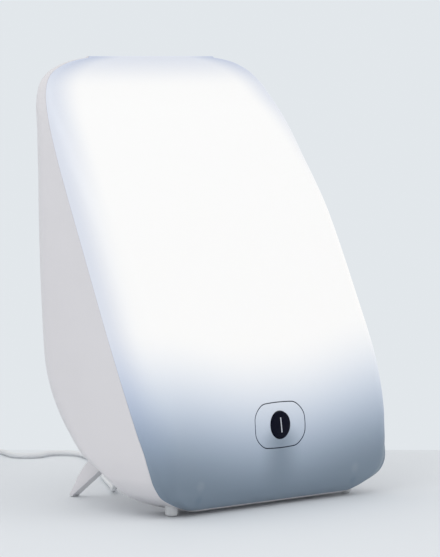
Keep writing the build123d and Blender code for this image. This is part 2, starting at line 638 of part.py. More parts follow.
def make_screws():
    with BuildPart() as tray_screws:
        for x, s in POST_PLACES + [BLOCK_PLACE]:
            add(screw_on(leaning(s, TRAY_FRONT, x)))
        for x, s in CLIP_PLACES:
            add(screw_on(leaning(s, TRAY_FRONT + CLIP_SHEET, x)))
        for x, s in BRACKET_PLACES:
            add(screw_on(leaning(s, TRAY_FRONT + BRACKET_SHEET, x)))
        for x, s in HOLDER_PLACES:
            add(screw_on(turned(leaning(s, -TRAY_BACK, x))))
        for x, s in BALLAST_PLACES:
            add(screw_on(turned(leaning(s, -TRAY_BACK - BALLAST_SHEET, x))))
    save(tray_screws, "tray_screws")
    with BuildPart() as housing_screws:
        for x, z, meet in BOSS_PLACES:
            add(screw_on(depth_axis(x, meet + SCREW_LENGTH - SCREW_BITE, z)))
    save(housing_screws, "housing_screws")


def turned(plane):
    return Plane(origin=plane.origin, x_dir=plane.x_dir, z_dir=-plane.z_dir)


def make_leg(side_name, x):
    down, off = (cos(LEG_DROP), -sin(LEG_DROP)), (sin(LEG_DROP), cos(LEG_DROP))
    root = (at(PIVOT_DEPTH) - LEG_HUB * off[0], PIVOT_Z - LEG_HUB * off[1])
    reach = root[1] / sin(LEG_DROP)

    def point(from_tip, width):
        run = reach - from_tip
        return root[0] + run * down[0] + width * off[0], root[1] + run * down[1] + width * off[1]

    def heel(out, along):
        wall, slope = (-cos(BACK_DROP), sin(BACK_DROP)), (sin(BACK_DROP), cos(BACK_DROP))
        return (at(PIVOT_DEPTH) + out * wall[0] + along * slope[0],
                PIVOT_Z + out * wall[1] + along * slope[1])

    with BuildPart() as leg:
        with BuildSketch(Plane.YZ.offset(x - LEG_THICK / 2)):
            with BuildLine():
                upper = [point(u, w) for u, w in LEG_WIDTHS]
                Polyline(root, point(PAD_THICK / sin(LEG_DROP), 0), (at(LEG_END), PAD_THICK), *upper,
                         point(reach, 2 * LEG_HUB), root)
            make_face()
            with Locations((at(PIVOT_DEPTH), PIVOT_Z)):
                Circle(LEG_HUB)
            with BuildLine():
                Polyline(heel(HEEL_REACH, -3), heel(HEEL_REACH, -3 - HEEL_WIDE), heel(0, -LEG_HUB),
                         heel(0, 0), heel(HEEL_REACH, -3))
            make_face()
            with Locations((at(PIVOT_DEPTH), PIVOT_Z)):
                Circle(STAND_PIN / 2 + RUN_GAP, mode=Mode.SUBTRACT)
        extrude(amount=LEG_THICK)
    save(leg, side_name + "_leg")
    with BuildPart() as pad:
        with BuildSketch(Plane.YZ.offset(x - LEG_THICK / 2)):
            with BuildLine():
                edge = point(PAD_THICK / sin(LEG_DROP), 0)
                Polyline(edge, (at(LEG_END), PAD_THICK), (at(LEG_END + 0.4), 0), (point(0, 0)[0] - 1.4, 0),
                         edge)
            make_face()
        extrude(amount=LEG_THICK)
    save(pad, side_name + "_leg_pad")


def make_hinge_pins():
    with BuildPart() as hinge_pins:
        for side in (-1, 1):
            inner = side * (LEG_X - LEG_THICK / 2 - LUG_GAP - LUG_THICK)
            length = LEG_THICK + 2 * (LUG_GAP + LUG_THICK)
            with BuildSketch(Plane.YZ.offset(inner)):
                with Locations((at(PIVOT_DEPTH), PIVOT_Z)):
                    Circle(STAND_PIN / 2)
            extrude(amount=side * length)
            with BuildSketch(Plane.YZ.offset(inner + side * length)):
                with Locations((at(PIVOT_DEPTH), PIVOT_Z)):
                    Circle(PIN_HEAD / 2)
            extrude(amount=side * PIN_HEAD_HIGH)
    save(hinge_pins, "hinge_pins")


def make_foot(side_name, x):
    with BuildPart() as foot:
        with BuildSketch(Plane.XY):
            with Locations((x, at(FOOT_DEPTH))):
                Circle(FOOT_DIAMETER / 2)
        extrude(amount=FOOT_TOP)
        chamfer(foot.edges().group_by(Axis.Z)[0], 0.8)
    save(foot, side_name + "_foot")


def make_strain_relief():
    """Flexible boot: a lip behind the wall, a neck through it, a flange and a ribbed taper."""
    with BuildPart() as strain_relief:
        for start, length, diameter in ((-4.6, 1.7, BOOT_NECK + 3), (-4.6, 6.0, BOOT_NECK),
                                        (0.3, 2.0, BOOT_FLANGE)):
            with BuildSketch(gland_plane(start)):
                Circle(diameter / 2)
            extrude(amount=length)
        with BuildSketch(gland_plane(2.0)):
            Circle(BOOT_ROOT / 2)
        with BuildSketch(gland_plane(BOOT_LENGTH)):
            Circle(BOOT_END / 2)
        loft()
        pitch = (BOOT_LENGTH - 8) / BOOT_RIBS
        for i in range(BOOT_RIBS):
            along = 6 + i * pitch
            radius = BOOT_ROOT / 2 + (BOOT_END - BOOT_ROOT) / 2 * along / BOOT_LENGTH
            with BuildSketch(gland_plane(along)):
                Circle(BOOT_FLANGE / 2)
                Circle(radius - 0.6, mode=Mode.SUBTRACT)
            extrude(amount=pitch * 0.45, mode=Mode.SUBTRACT)
        with BuildSketch(gland_plane(-10)):
            Circle(CORD / 2 + RUN_GAP)
        extrude(amount=BOOT_LENGTH + 20, mode=Mode.SUBTRACT)
    save(strain_relief, "strain_relief")


def cord_route():
    """Control points of the cord from the terminal block to where it enters the coil."""
    block = leaning(BLOCK_PLACE[1], -TRAY_BACK - BLOCK_HIGH, BLOCK_X)
    bent = leaning(BLOCK_PLACE[1], -TRAY_BACK - BLOCK_HIGH - 14, BLOCK_X)
    inside, outside = gland_plane(-26), gland_plane(60)
    floor = [(-52, 88), (-24, 120), (10, 168), (54, 220), (97, 274), (134, 327), (150, 366), (128, 388),
             (98, 376), (80, 400), (100, 436), (86, 457), (52, 459)]
    points = [tuple(p.origin) for p in (block, bent, inside, outside)]
    points += [(x, y, CORD_Z) for x, y in floor]
    return points + [(COIL_X, COIL_Y + COIL_RADIUS, COIL_LOW + CORD / 2)]


def make_cord():
    points = cord_route()
    radii = []
    for before, here, after in zip(points, points[1:], points[2:]):
        one, two = Vector(*here) - Vector(*before), Vector(*after) - Vector(*here)
        radii.append(0.45 * min(one.length, two.length) / tan(radians(one.get_angle(two)) / 2))
    print("bend radii", [round(r, 1) for r in radii])
    with BuildPart() as cord_coil:
        with BuildSketch(Plane(origin=(COIL_X, COIL_Y, COIL_LOW), x_dir=(1, 0, 0), z_dir=(0, -1, 0))):
            with Locations((COIL_RADIUS, COIL_HIGH / 2)):
                RectangleRounded(COIL_WIDE, COIL_HIGH, CORD / 2 - 0.1)
        revolve(axis=Axis((COIL_X, COIL_Y, 0), (0, 0, 1)))
    with BuildPart() as mains_cord:
        with BuildLine() as route:
            FilletPolyline(*points, radius=radii)
        with BuildSketch(Plane(origin=route.line @ 0, z_dir=route.line % 0)):
            Circle(CORD / 2)
        sweep()
        add(cord_coil.part, mode=Mode.SUBTRACT)
    length = sum(edge.length for edge in route.edges())
    print("cord", round(length), "volume by length", round(length * pi * CORD**2 / 4))
    save(mains_cord, "mains_cord")
    save(cord_coil, "cord_coil")
    turn = 2 * degrees(asin(TIE_WIDE / 2 / COIL_RADIUS))
    a = radians(-90 - turn / 2)
    with BuildPart() as coil_tie:
        with BuildSketch(Plane(origin=(COIL_X, COIL_Y, COIL_LOW), x_dir=(cos(a), sin(a), 0),
                               z_dir=(sin(a), -cos(a), 0))):
            with Locations((COIL_RADIUS, COIL_HIGH / 2)):
                grow = 2 * (FACE_GAP + TIE_SHEET)
                RectangleRounded(COIL_WIDE + grow, COIL_HIGH + grow, CORD / 2)
                grow = 2 * FACE_GAP
                RectangleRounded(COIL_WIDE + grow, COIL_HIGH + grow, CORD / 2 - 0.5, mode=Mode.SUBTRACT)
        revolve(axis=Axis((COIL_X, COIL_Y, 0), (0, 0, 1)), revolution_arc=-turn)
    save(coil_tie, "coil_tie")


def plug_plane(x):
    """A plane square to the plug's axis, looking towards its pins."""
    return Plane(origin=(x, COIL_Y + COIL_RADIUS, PLUG_HIGH / 2), x_dir=(0, 1, 0), z_dir=(-1, 0, 0))


def make_plug():
    with BuildPart() as cord_tail:
        with BuildSketch(plug_plane(COIL_X)):
            Circle(CORD / 2)
        extrude(amount=COIL_X - PLUG_X - PLUG_NECK)
        with BuildSketch(Plane(origin=(COIL_X, COIL_Y, COIL_LOW), x_dir=(1, 0, 0), z_dir=(0, -1, 0))):
            with Locations((COIL_RADIUS, COIL_HIGH / 2)):
                RectangleRounded(COIL_WIDE, COIL_HIGH, CORD / 2 - 0.1)
        revolve(axis=Axis((COIL_X, COIL_Y, 0), (0, 0, 1)), mode=Mode.SUBTRACT)
    save(cord_tail, "cord_tail")
    with BuildPart() as plug:
        with BuildSketch(plug_plane(PLUG_X)):
            RectangleRounded(PLUG_WIDE, PLUG_HIGH, 6)
        extrude(amount=PLUG_LENGTH)
        fillet(plug.edges().group_by(Axis.X)[0], 1.5)
        with BuildSketch(plug_plane(PLUG_X + PLUG_NECK)):
            Circle(CORD / 2 + 0.8)
        with BuildSketch(plug_plane(PLUG_X)):
            Circle(CORD / 2 + 2.6)
        loft()
        for side in (-1, 1):
            with BuildSketch(plug_plane(PLUG_X - PLUG_LENGTH + 6)):
                with Locations((side * PLUG_PITCH / 2, 0)):
                    Circle(PLUG_PIN / 2)
            extrude(amount=6, mode=Mode.SUBTRACT)
    save(plug, "plug")
    with BuildPart() as plug_pins:
        for side in (-1, 1):
            with BuildSketch(plug_plane(PLUG_X - PLUG_LENGTH + 6)):
                with Locations((side * PLUG_PITCH / 2, 0)):
                    Circle(PLUG_PIN / 2)
            extrude(amount=6 + PLUG_PIN_LENGTH)
    save(plug_pins, "plug_pins")


make_front_cover()
make_switch_panel()
make_panel_frame()
make_rear_housing()
make_reflector_tray()
for name, x in (("left", -TUBE_X), ("right", TUBE_X)):
    make_tube(name, x)
    make_tube_base(name, x)
    make_tube_pins(name, x)
    make_lamp_holder(name, x)
    make_tube_clip(name, x)
make_ballast()
make_terminal_block()
make_switch_bracket()
make_switch_body()
make_button()
make_screws()
for name, side in (("left", -1), ("right", 1)):
    make_foot(name, side * FOOT_X)
    make_leg(name, side * LEG_X)
make_hinge_pins()
make_strain_relief()
make_cord()
make_plug()
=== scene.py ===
# Table-top light therapy lamp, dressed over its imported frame. Metres throughout.
import bpy, json, math
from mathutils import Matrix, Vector

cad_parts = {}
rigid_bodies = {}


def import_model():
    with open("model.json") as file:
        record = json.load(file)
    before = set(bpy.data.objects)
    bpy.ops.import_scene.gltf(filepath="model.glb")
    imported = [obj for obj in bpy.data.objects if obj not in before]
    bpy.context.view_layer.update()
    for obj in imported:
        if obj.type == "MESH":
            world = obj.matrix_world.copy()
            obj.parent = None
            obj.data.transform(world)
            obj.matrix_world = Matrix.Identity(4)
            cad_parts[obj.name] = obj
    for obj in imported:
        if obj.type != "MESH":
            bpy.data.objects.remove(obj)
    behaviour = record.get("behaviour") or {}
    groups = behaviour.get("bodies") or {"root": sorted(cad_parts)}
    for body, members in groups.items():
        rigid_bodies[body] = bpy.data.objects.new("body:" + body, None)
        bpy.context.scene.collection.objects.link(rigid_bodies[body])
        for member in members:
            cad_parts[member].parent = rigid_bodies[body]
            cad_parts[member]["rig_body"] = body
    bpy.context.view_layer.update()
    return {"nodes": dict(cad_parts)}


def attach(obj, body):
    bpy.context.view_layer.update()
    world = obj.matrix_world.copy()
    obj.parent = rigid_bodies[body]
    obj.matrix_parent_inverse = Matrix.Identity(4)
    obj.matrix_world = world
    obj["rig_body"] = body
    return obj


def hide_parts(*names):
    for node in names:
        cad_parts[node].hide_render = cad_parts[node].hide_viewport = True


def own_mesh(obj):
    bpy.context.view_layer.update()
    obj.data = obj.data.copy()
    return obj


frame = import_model()
nodes = frame["nodes"]
mm = 0.001
frontY = -106.0  # depths below are counted backwards from the foremost line of the lit face, in millimetres
print("frame loaded:", len(nodes), "nodes")


def hexColor(text, alpha=1.0):
    values = [int(text[i:i + 2], 16) / 255 for i in (1, 3, 5)]
    return [v / 12.92 if v <= 0.04045 else ((v + 0.055) / 1.055) ** 2.4 for v in values] + [alpha]


def addNode(tree, kind, settings=None, links=None):
    # one shader node, its plain settings, its socket values, and what feeds it
    node = tree.nodes.new(kind)
    for key, value in (settings or {}).items():
        if isinstance(key, str) and hasattr(node, key):
            setattr(node, key, value)
        else:
            node.inputs[key].default_value = value
    for socket, source in (links or {}).items():
        tree.links.new(source, node.inputs[socket])
    return node


def newMaterial(name, **surface):
    material = bpy.data.materials.new(name)
    material.use_nodes = True
    shader = material.node_tree.nodes["Principled BSDF"]
    for key, value in surface.items():
        shader.inputs[key.replace("_", " ")].default_value = value
    return material, material.node_tree, shader


def dress(piece, material):
    piece.data.materials.clear()
    piece.data.materials.append(material)


def onlySelect(*pieces):
    bpy.ops.object.select_all(action="DESELECT")
    for piece in pieces:
        piece.select_set(True)
    bpy.context.view_layer.objects.active = pieces[0]


def applyAll(piece):
    onlySelect(piece)
    for modifier in list(piece.modifiers):
        bpy.ops.object.modifier_apply(modifier=modifier.name)


def settle(piece):
    # leaves the piece's object at the origin, with its place in its mesh
    onlySelect(piece)
    bpy.ops.object.transform_apply(location=True, rotation=True, scale=True)


def mergeDoubles(piece, distance=0.00002):
    onlySelect(piece)
    bpy.ops.object.mode_set(mode="EDIT")
    bpy.ops.mesh.select_all(action="SELECT")
    bpy.ops.mesh.remove_doubles(threshold=distance)
    bpy.ops.object.mode_set(mode="OBJECT")


def recalcNormals(piece):
    onlySelect(piece)
    bpy.ops.object.mode_set(mode="EDIT")
    bpy.ops.mesh.select_all(action="SELECT")
    bpy.ops.mesh.normals_make_consistent(inside=False)
    bpy.ops.object.mode_set(mode="OBJECT")


def smoothByAngle(piece, degrees=35):
    onlySelect(piece)
    bpy.ops.object.shade_smooth_by_angle(angle=math.radians(degrees))


def bevelEdges(piece, width, segments=2, degrees=40):
    bevel = piece.modifiers.new("softEdge", "BEVEL")
    bevel.width, bevel.segments, bevel.limit_method = width, segments, "ANGLE"
    bevel.angle_limit = math.radians(degrees)
    applyAll(piece)


def cutWith(piece, cutter, operation="DIFFERENCE"):
    boolean = piece.modifiers.new("cut", "BOOLEAN")
    boolean.operation, boolean.solver, boolean.object = operation, "EXACT", cutter
    applyAll(piece)


def softened(node, width, segments=2, degrees=40):
    # a copy of a rigid CAD node with its doubles merged and its edges rounded as a mould rounds them
    onlySelect(nodes[node])
    bpy.ops.object.duplicate()
    piece = bpy.context.active_object
    piece.name = node + "_moulded"
    for key in list(piece.keys()):
        del piece[key]
    piece.parent = None
    mergeDoubles(piece)
    onlySelect(piece)
    bpy.ops.object.mode_set(mode="EDIT")
    bpy.ops.mesh.select_all(action="SELECT")
    bpy.ops.mesh.dissolve_limited(angle_limit=math.radians(3))
    bpy.ops.object.mode_set(mode="OBJECT")
    bevelEdges(piece, width, segments, degrees)
    smoothByAngle(piece, 35)
    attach(piece, nodes[node]["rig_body"])
    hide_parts(node)
    return piece


def gridPiece(name, rows, wrap=False):
    # a grid primitive whose rows of points are moved onto the form
    across, up = len(rows[0]), len(rows)
    bpy.ops.object.select_all(action="DESELECT")
    bpy.ops.mesh.primitive_grid_add(x_subdivisions=across - 1, y_subdivisions=up - 1, size=1)
    piece = bpy.context.active_object
    piece.name = name
    for index, vertex in enumerate(piece.data.vertices):
        vertex.co = Vector(rows[index // across][index % across]) * mm
    if wrap:
        mergeDoubles(piece)
    return piece


cameraFacts = {"place": (-2.4461, -2.4643, 0.459), "heading": -45.0, "pitch": 3.791, "lens": 216.04}


def setCamera():
    bpy.ops.object.camera_add(location=cameraFacts["place"])
    camera = bpy.context.active_object
    camera.rotation_euler = (math.radians(90 - cameraFacts["pitch"]), 0, math.radians(cameraFacts["heading"]))
    camera.data.lens, camera.data.sensor_width = cameraFacts["lens"], 36
    camera.data.clip_start, camera.data.clip_end = 0.1, 40
    bpy.context.scene.camera = camera


setCamera()
print("camera set")


cordFacts = {
    "diameter": 0.0058, "length": 1.88, "exit": (-0.058, 0.0640, 0.0346),
    "coilCentre": (14, 425), "outerTurn": 35.9, "innerTurn": 30.1, "rows": (4.3, 10.1, 15.9),
    "pointsPerTurn": 16,
    "swell": 1.012,  # the smooth line runs a little inside its control points
    "inside": [(-30, -24.5, 118.4), (-30, -11.7, 112.8), (-58, 16.5, 87.3), (-58, 49.9, 50.2)],
    "route": [(-58, 49.9, 50.2), (-58, 74.0, 23.4), (-52, 88, 3.1), (-24, 120, 3.1), (10, 168, 3.1),
              (54, 220, 3.1), (97, 274, 3.1), (134, 327, 3.1), (150, 366, 3.1), (128, 388, 3.1),
              (98, 376, 3.1),
              (80, 400, 3.1), (100, 436, 3.1), (86, 457, 3.1), (52, 460.5, 4.0)],
    "tail": [(-2, 460.9, 9.0), (-7, 459, 7.6), (-11.8, 458, 6.85)],
}


def nurbsTube(name, points, diameter):
    curve = bpy.data.curves.new(name, "CURVE")
    curve.dimensions, curve.bevel_depth, curve.bevel_resolution = "3D", 1.0, 5
    spline = curve.splines.new("NURBS")
    spline.points.add(len(points) - 1)
    for point, place in zip(spline.points, points):
        point.co = (*[v * mm for v in place], 1)
        point.radius = diameter / 2
    spline.order_u = 3
    spline.use_endpoint_u = True
    spline.resolution_u = 8
    curve.use_fill_caps = True
    tube = bpy.data.objects.new(name, curve)
    bpy.context.scene.collection.objects.link(tube)
    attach(tube, "housing")
    return tube


def makeCord():
    facts = cordFacts
    cx, cy = facts["coilCentre"]
    low, middle, high = facts["rows"]
    outer, inner = facts["outerTurn"], facts["innerTurn"]
    turns = [(outer, low), (inner, low), (inner, middle), (inner, high), (outer, high), (outer, middle)]
    points = list(facts["route"])
    count = facts["pointsPerTurn"]
    for turn, (radius, height) in enumerate(turns):
        after = turns[turn + 1] if turn + 1 < len(turns) else (radius, height)
        for step in range(count):
            share = max(0.0, (step - count + 3) / 3)  # the last three points lead over to the next turn
            r = (radius + (after[0] - radius) * share) * facts["swell"]
            z = height + (after[1] - height) * share
            angle = math.radians(90 + 360 * step / count)
            points.append((cx + r * math.cos(angle), cy + r * math.sin(angle), z))
    points += facts["tail"]
    cord = nurbsTube("mainsCordLine", points, facts["diameter"])
    inside = nurbsTube("cordInside", facts["inside"], facts["diameter"])
    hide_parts("mains_cord", "cord_coil", "cord_tail")
    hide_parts("mains_cord")
    return cord, inside


cord, cordInside = makeCord()
print("cord laid")


stageFacts = {"floor": "#DDE1E5", "wall": "#E3E8EC", "wallDistance": 3.894}


def makePlainPaint(name, color, roughness):
    # matt emulsion with a barely seen drift of tone
    material, tree, shader = newMaterial(name, Roughness=roughness)
    drift = addNode(tree, "ShaderNodeTexNoise", {"Scale": 0.7, "Detail": 2.0}, {"Vector": addNode(
        tree, "ShaderNodeTexCoord").outputs["Object"]})
    tone = addNode(tree, "ShaderNodeMapRange", {"To Min": 0.985, "To Max": 1.0}, {"Value": drift.outputs[0]})
    paint = addNode(tree, "ShaderNodeVectorMath", {"operation": "SCALE", 0: hexColor(color)[:3]},
                    {"Scale": tone.outputs[0]})
    tree.links.new(paint.outputs[0], shader.inputs["Base Color"])
    return material, tree, shader, paint


def setStage():
    bpy.ops.mesh.primitive_plane_add(size=60, location=(0, 0, -0.0004))
    floor = bpy.context.active_object
    floor.name = "floor"
    dress(floor, makePlainPaint("paintedFloor", stageFacts["floor"], 0.7)[0])
    heading = math.radians(-cameraFacts["heading"])
    ahead = Vector((math.sin(heading), math.cos(heading), 0))
    place = Vector(cameraFacts["place"]) + ahead * stageFacts["wallDistance"]
    bpy.ops.mesh.primitive_plane_add(size=14, location=(place.x, place.y, 6.99),
                                     rotation=(math.radians(90), 0, math.radians(-45)))
    wall = bpy.context.active_object
    wall.name = "wall"
    material, tree, shader, paint = makePlainPaint("paintedWall", stageFacts["wall"], 0.8)
    # evenly pale where it is seen or mirrored from straight in front; for all other light it isn't there
    rays = addNode(tree, "ShaderNodeLightPath")
    seen = addNode(tree, "ShaderNodeMath", {"operation": "MAXIMUM"},
                   {0: rays.outputs["Is Camera Ray"], 1: rays.outputs["Is Glossy Ray"]})
    side = addNode(tree, "ShaderNodeNewGeometry")
    front = addNode(tree, "ShaderNodeVectorMath", {"operation": "DOT_PRODUCT"},
                    {0: side.outputs["Incoming"], 1: side.outputs["Normal"]})
    straight = addNode(tree, "ShaderNodeMapRange", {"From Min": 0.93, "From Max": 0.97},
                       {"Value": front.outputs["Value"]})
    faced = addNode(tree, "ShaderNodeMath", {"operation": "MULTIPLY"},
                    {0: seen.outputs[0], 1: straight.outputs[0]})
    shown = addNode(tree, "ShaderNodeMath", {"operation": "SUBTRACT", "use_clamp": True},
                    {0: faced.outputs[0], 1: side.outputs["Backfacing"]})
    glow = addNode(tree, "ShaderNodeEmission", {"Strength": 1.0}, {"Color": paint.outputs[0]})
    clear = addNode(tree, "ShaderNodeBsdfTransparent")
    both = addNode(tree, "ShaderNodeMixShader",
                   links={0: shown.outputs[0], 1: clear.outputs[0], 2: glow.outputs[0]})
    tree.links.new(both.outputs[0], tree.nodes["Material Output"].inputs["Surface"])
    dress(wall, material)


setStage()
print("stage set")


lightFacts = {"world": 0.91, "backdrop": "#D9DDE0", "key": 20.0, "fill": 7.0}


def setLights():
    world = bpy.data.worlds.new("softStudio")
    bpy.context.scene.world = world
    world.use_nodes = True
    # even white light on the object, and the backdrop's pale tone where it is looked at or mirrored
    tree = world.node_tree
    light = tree.nodes["Background"]
    light.inputs["Color"].default_value = hexColor("#FFFFFF")
    light.inputs["Strength"].default_value = lightFacts["world"]
    backdrop = addNode(tree, "ShaderNodeBackground",
                       {"Color": hexColor(lightFacts["backdrop"]), "Strength": 1.0})
    rays = addNode(tree, "ShaderNodeLightPath")
    straight = addNode(tree, "ShaderNodeMath", {"operation": "MAXIMUM"},
                       {0: rays.outputs["Is Camera Ray"], 1: rays.outputs["Is Glossy Ray"]})
    seen = addNode(tree, "ShaderNodeMath", {"operation": "MAXIMUM"},
                   {0: straight.outputs[0], 1: rays.outputs["Is Transmission Ray"]})
    both = addNode(tree, "ShaderNodeMixShader",
                   links={0: seen.outputs[0], 1: light.outputs[0], 2: backdrop.outputs[0]})
    tree.links.new(both.outputs[0], tree.nodes["World Output"].inputs["Surface"])
    bpy.context.scene.view_settings.view_transform = "Standard"
    for name, place, power, size in (("key", (-2.2, -0.6, 2.6), lightFacts["key"], 2.0),
                                     ("fill", (1.6, -2.4, 2.2), lightFacts["fill"], 2.2)):
        bpy.ops.object.light_add(type="AREA", location=place)
        lamp = bpy.context.active_object
        lamp.name, lamp.data.energy, lamp.data.size = name, power, size
        lamp.rotation_euler = (Vector((0, 0, 0.2)) - Vector(place)).to_track_quat("-Z", "Y").to_euler()


setLights()
print("lights set")


# stations of (height, value) up the body, joined by smooth curves; all in millimetres
formFacts = {
    "halfWidth": [(4, 112), (7, 123), (13, 141.5), (24, 162.5), (40, 171.5), (62, 174), (300, 174),
                  (350, 173),
                  (385, 170), (405, 166.3), (428, 157.5), (440, 147), (452, 124), (456, 108), (460, 78)],
    "front": [(4, 14), (7, 10), (13, 6), (24, 2.5), (40, 0.5), (60, 0), (80, 0.3), (100, 2.5), (125, 8),
              (150, 15.7), (175, 26), (200, 37.3), (250, 60), (300, 84.8), (325, 100), (350, 116.4),
              (370, 130), (395, 149), (415, 165.5), (428, 174), (440, 180.5), (450, 184), (460, 187)],
    "rear": [(4, 60), (8, 64), (13, 68), (25, 76), (40, 95), (60, 130), (75, 147), (100, 166), (125, 179),
             (150, 186), (200, 190.5), (250, 193.4), (325, 195.6), (370, 197), (430, 199), (446, 198.5),
             (460, 195)],
    "frontCorner": [(4, 6), (16, 16), (45, 24), (80, 27), (350, 27), (385, 20), (412, 12), (440, 6),
                    (460, 2.5)],
    "rearCorner": [(4, 6), (25, 14), (45, 22), (80, 33), (330, 33), (385, 27), (412, 16), (440, 6),
                   (460, 2.5)],
    "seam": [(5.4, 16), (8, 14.8), (12, 12.8), (18, 11), (28, 10), (40, 11.8), (61, 18), (84.6, 29.8),
             (178, 72.5), (297, 122.6), (385, 161), (428, 181), (446, 188.5), (470, 190)],
    "wall": 2.5, "seamGap": 0.6, "seamLow": 5.4, "topRound": 1.6, "top": 460.0, "bottom": 4.0,
    "cornerPoints": 25,  # the larger, the more of a row's points go to its corner
}


def smoothCurve(points):
    # a smooth curve through stations, without overshoot
    xs, ys = [p[0] for p in points], [p[1] for p in points]
    steps = [b - a for a, b in zip(xs, xs[1:])]
    slopes = [(b - a) / h for a, b, h in zip(ys, ys[1:], steps)]
    tangents = [slopes[0]] + [0.0] * (len(xs) - 2) + [slopes[-1]]
    for i in range(1, len(xs) - 1):
        if slopes[i - 1] * slopes[i] > 0:
            a, b = 2 * steps[i] + steps[i - 1], steps[i] + 2 * steps[i - 1]
            tangents[i] = (a + b) / (a / slopes[i - 1] + b / slopes[i])

    def value(x):
        i = 0
        while i < len(xs) - 2 and x > xs[i + 1]:
            i += 1
        h, t = steps[i], (x - xs[i]) / steps[i]
        return ((2 * t**3 - 3 * t**2 + 1) * ys[i] + (t**3 - 2 * t**2 + t) * h * tangents[i]
                + (3 * t**2 - 2 * t**3) * ys[i + 1] + (t**3 - t**2) * h * tangents[i + 1])

    return value


halfWidthAt, frontAt, rearAt, frontCornerAt, rearCornerAt, seamAt = [
    smoothCurve(formFacts[key]) for key in ("halfWidth", "front", "rear", "frontCorner", "rearCorner",
                                            "seam")]


def halfSection(half, corner, start, count):
    # from the side, at start behind the face, round the corner to the middle, as (x, distance behind the face);
    # the points lie closer together where the outline turns
    first = math.asin((corner - start) / corner) if start < corner else 0.0
    turn = corner + formFacts["cornerPoints"]
    runs = [max(start - corner, 0.0), turn * (math.pi / 2 - first), half - corner]
    places = []
    for i in range(count + 1):
        w = sum(runs) * i / count
        if w <= runs[0]:
            places.append((half, start - w))
        elif w <= runs[0] + runs[1]:
            angle = first + (w - runs[0]) / turn
            places.append((half - corner + corner * math.cos(angle), corner - corner * math.sin(angle)))
        else:
            places.append((max(sum(runs) - w, 0.0), 0.0))
    return places


def sectionRow(z, facing, inset, split, count, height=None):
    # one row of the body's outline from the left split, round the front or the rear, to the right split
    half, front, rear = halfWidthAt(z) - inset, frontAt(z) + inset, rearAt(z) - inset
    a, b = frontCornerAt(z), rearCornerAt(z)
    room = min((rear - front - 0.8) / (a + b), 1)
    corner = (a if facing == "front" else b) * room
    start = split - front if facing == "front" else rear - split
    row = [(-x, behind) for x, behind in halfSection(half, corner, max(start, 0.02), count)]
    row += [(-x, behind) for x, behind in reversed(row[:-1])]
    foremost, inward = (front, 1) if facing == "front" else (rear, -1)
    return [(x, frontY + foremost + inward * behind, z if height is None else height) for x, behind in row]


def heights(low, high, stops):
    # rows between low and high, closer together where the body curves; stops are (height, spacing below it)
    rows, z = [low], low
    for stop, spacing in stops:
        stop = min(stop, high)
        if stop > z + 0.01:
            steps = max(1, round((stop - z) / spacing))
            rows += [z + (stop - z) * (i + 1) / steps for i in range(steps)]
            z = stop
    return rows


rowStops = [(16, 1.0), (40, 1.6), (110, 2.2), (200, 3.2), (350, 4.4), (420, 2.6), (452, 1.4), (470, 0.8)]


def shellRows(facing, shift, low, count):
    # the rows of one shell from low to the rounded top, ending at its own side of the parting line
    top, r = formFacts["top"], formFacts["topRound"]
    rows = []
    for z in heights(low, top - r, rowStops):
        rows.append(sectionRow(z, facing, 0, seamAt(z) + shift, count))
    for step in range(1, 5):
        angle = math.pi / 2 * step / 4
        z = top - r + r * math.sin(angle)
        rows.append(sectionRow(top - r, facing, r * (1 - math.cos(angle)), seamAt(z) + shift, count,
                               height=z))
    # the flat of the top runs on to the parting line
    rows.append([(x, frontY + seamAt(top) + shift, top) for x, y, z in rows[-1]])
    return rows


def noteRun(piece, rows):
    # keeps each point's distance along its row from the nearer end, in tenths of a metre, on the piece's UV map
    layer = piece.data.uv_layers.active.data
    runs = []
    for row in rows:
        steps = [0.0]
        for a, b in zip(row, row[1:]):
            steps.append(steps[-1] + math.dist(a, b))
        runs += [min(run, steps[-1] - run) for run in steps]
    for loop in piece.data.loops:
        layer[loop.index].uv = (runs[loop.vertex_index] * 0.01, piece.data.vertices[loop.vertex_index].co.z)


def facesAway(piece, centre):
    # turns the open sheet so that its faces look away from centre
    recalcNormals(piece)
    total = sum(f.area * (f.center - Vector(centre)).dot(f.normal) for f in piece.data.polygons)
    if total < 0:
        onlySelect(piece)
        bpy.ops.object.mode_set(mode="EDIT")
        bpy.ops.mesh.select_all(action="SELECT")
        bpy.ops.mesh.flip_normals()
        bpy.ops.object.mode_set(mode="OBJECT")


def thicken(piece, wall, innerSlot=0):
    solidify = piece.modifiers.new("wall", "SOLIDIFY")
    solidify.thickness, solidify.offset = wall * mm, -1
    solidify.material_offset = innerSlot
    applyAll(piece)


def prismFrom(name, outline, direction, length):
    # a closed outline pushed along direction; outline and length in millimetres
    bpy.ops.object.select_all(action="DESELECT")
    bpy.ops.mesh.primitive_circle_add(vertices=len(outline), fill_type="NGON", radius=1)
    piece = bpy.context.active_object
    piece.name = name
    for vertex, place in zip(piece.data.vertices, outline):
        vertex.co = Vector(place) * mm
    bpy.ops.object.mode_set(mode="EDIT")
    bpy.ops.mesh.select_all(action="SELECT")
    bpy.ops.mesh.extrude_region_move(TRANSFORM_OT_translate={"value": Vector(direction) * length * mm})
    bpy.ops.object.mode_set(mode="OBJECT")
    recalcNormals(piece)
    return piece


def join(pieces):
    onlySelect(*pieces)
    bpy.ops.object.join()
    return bpy.context.active_object


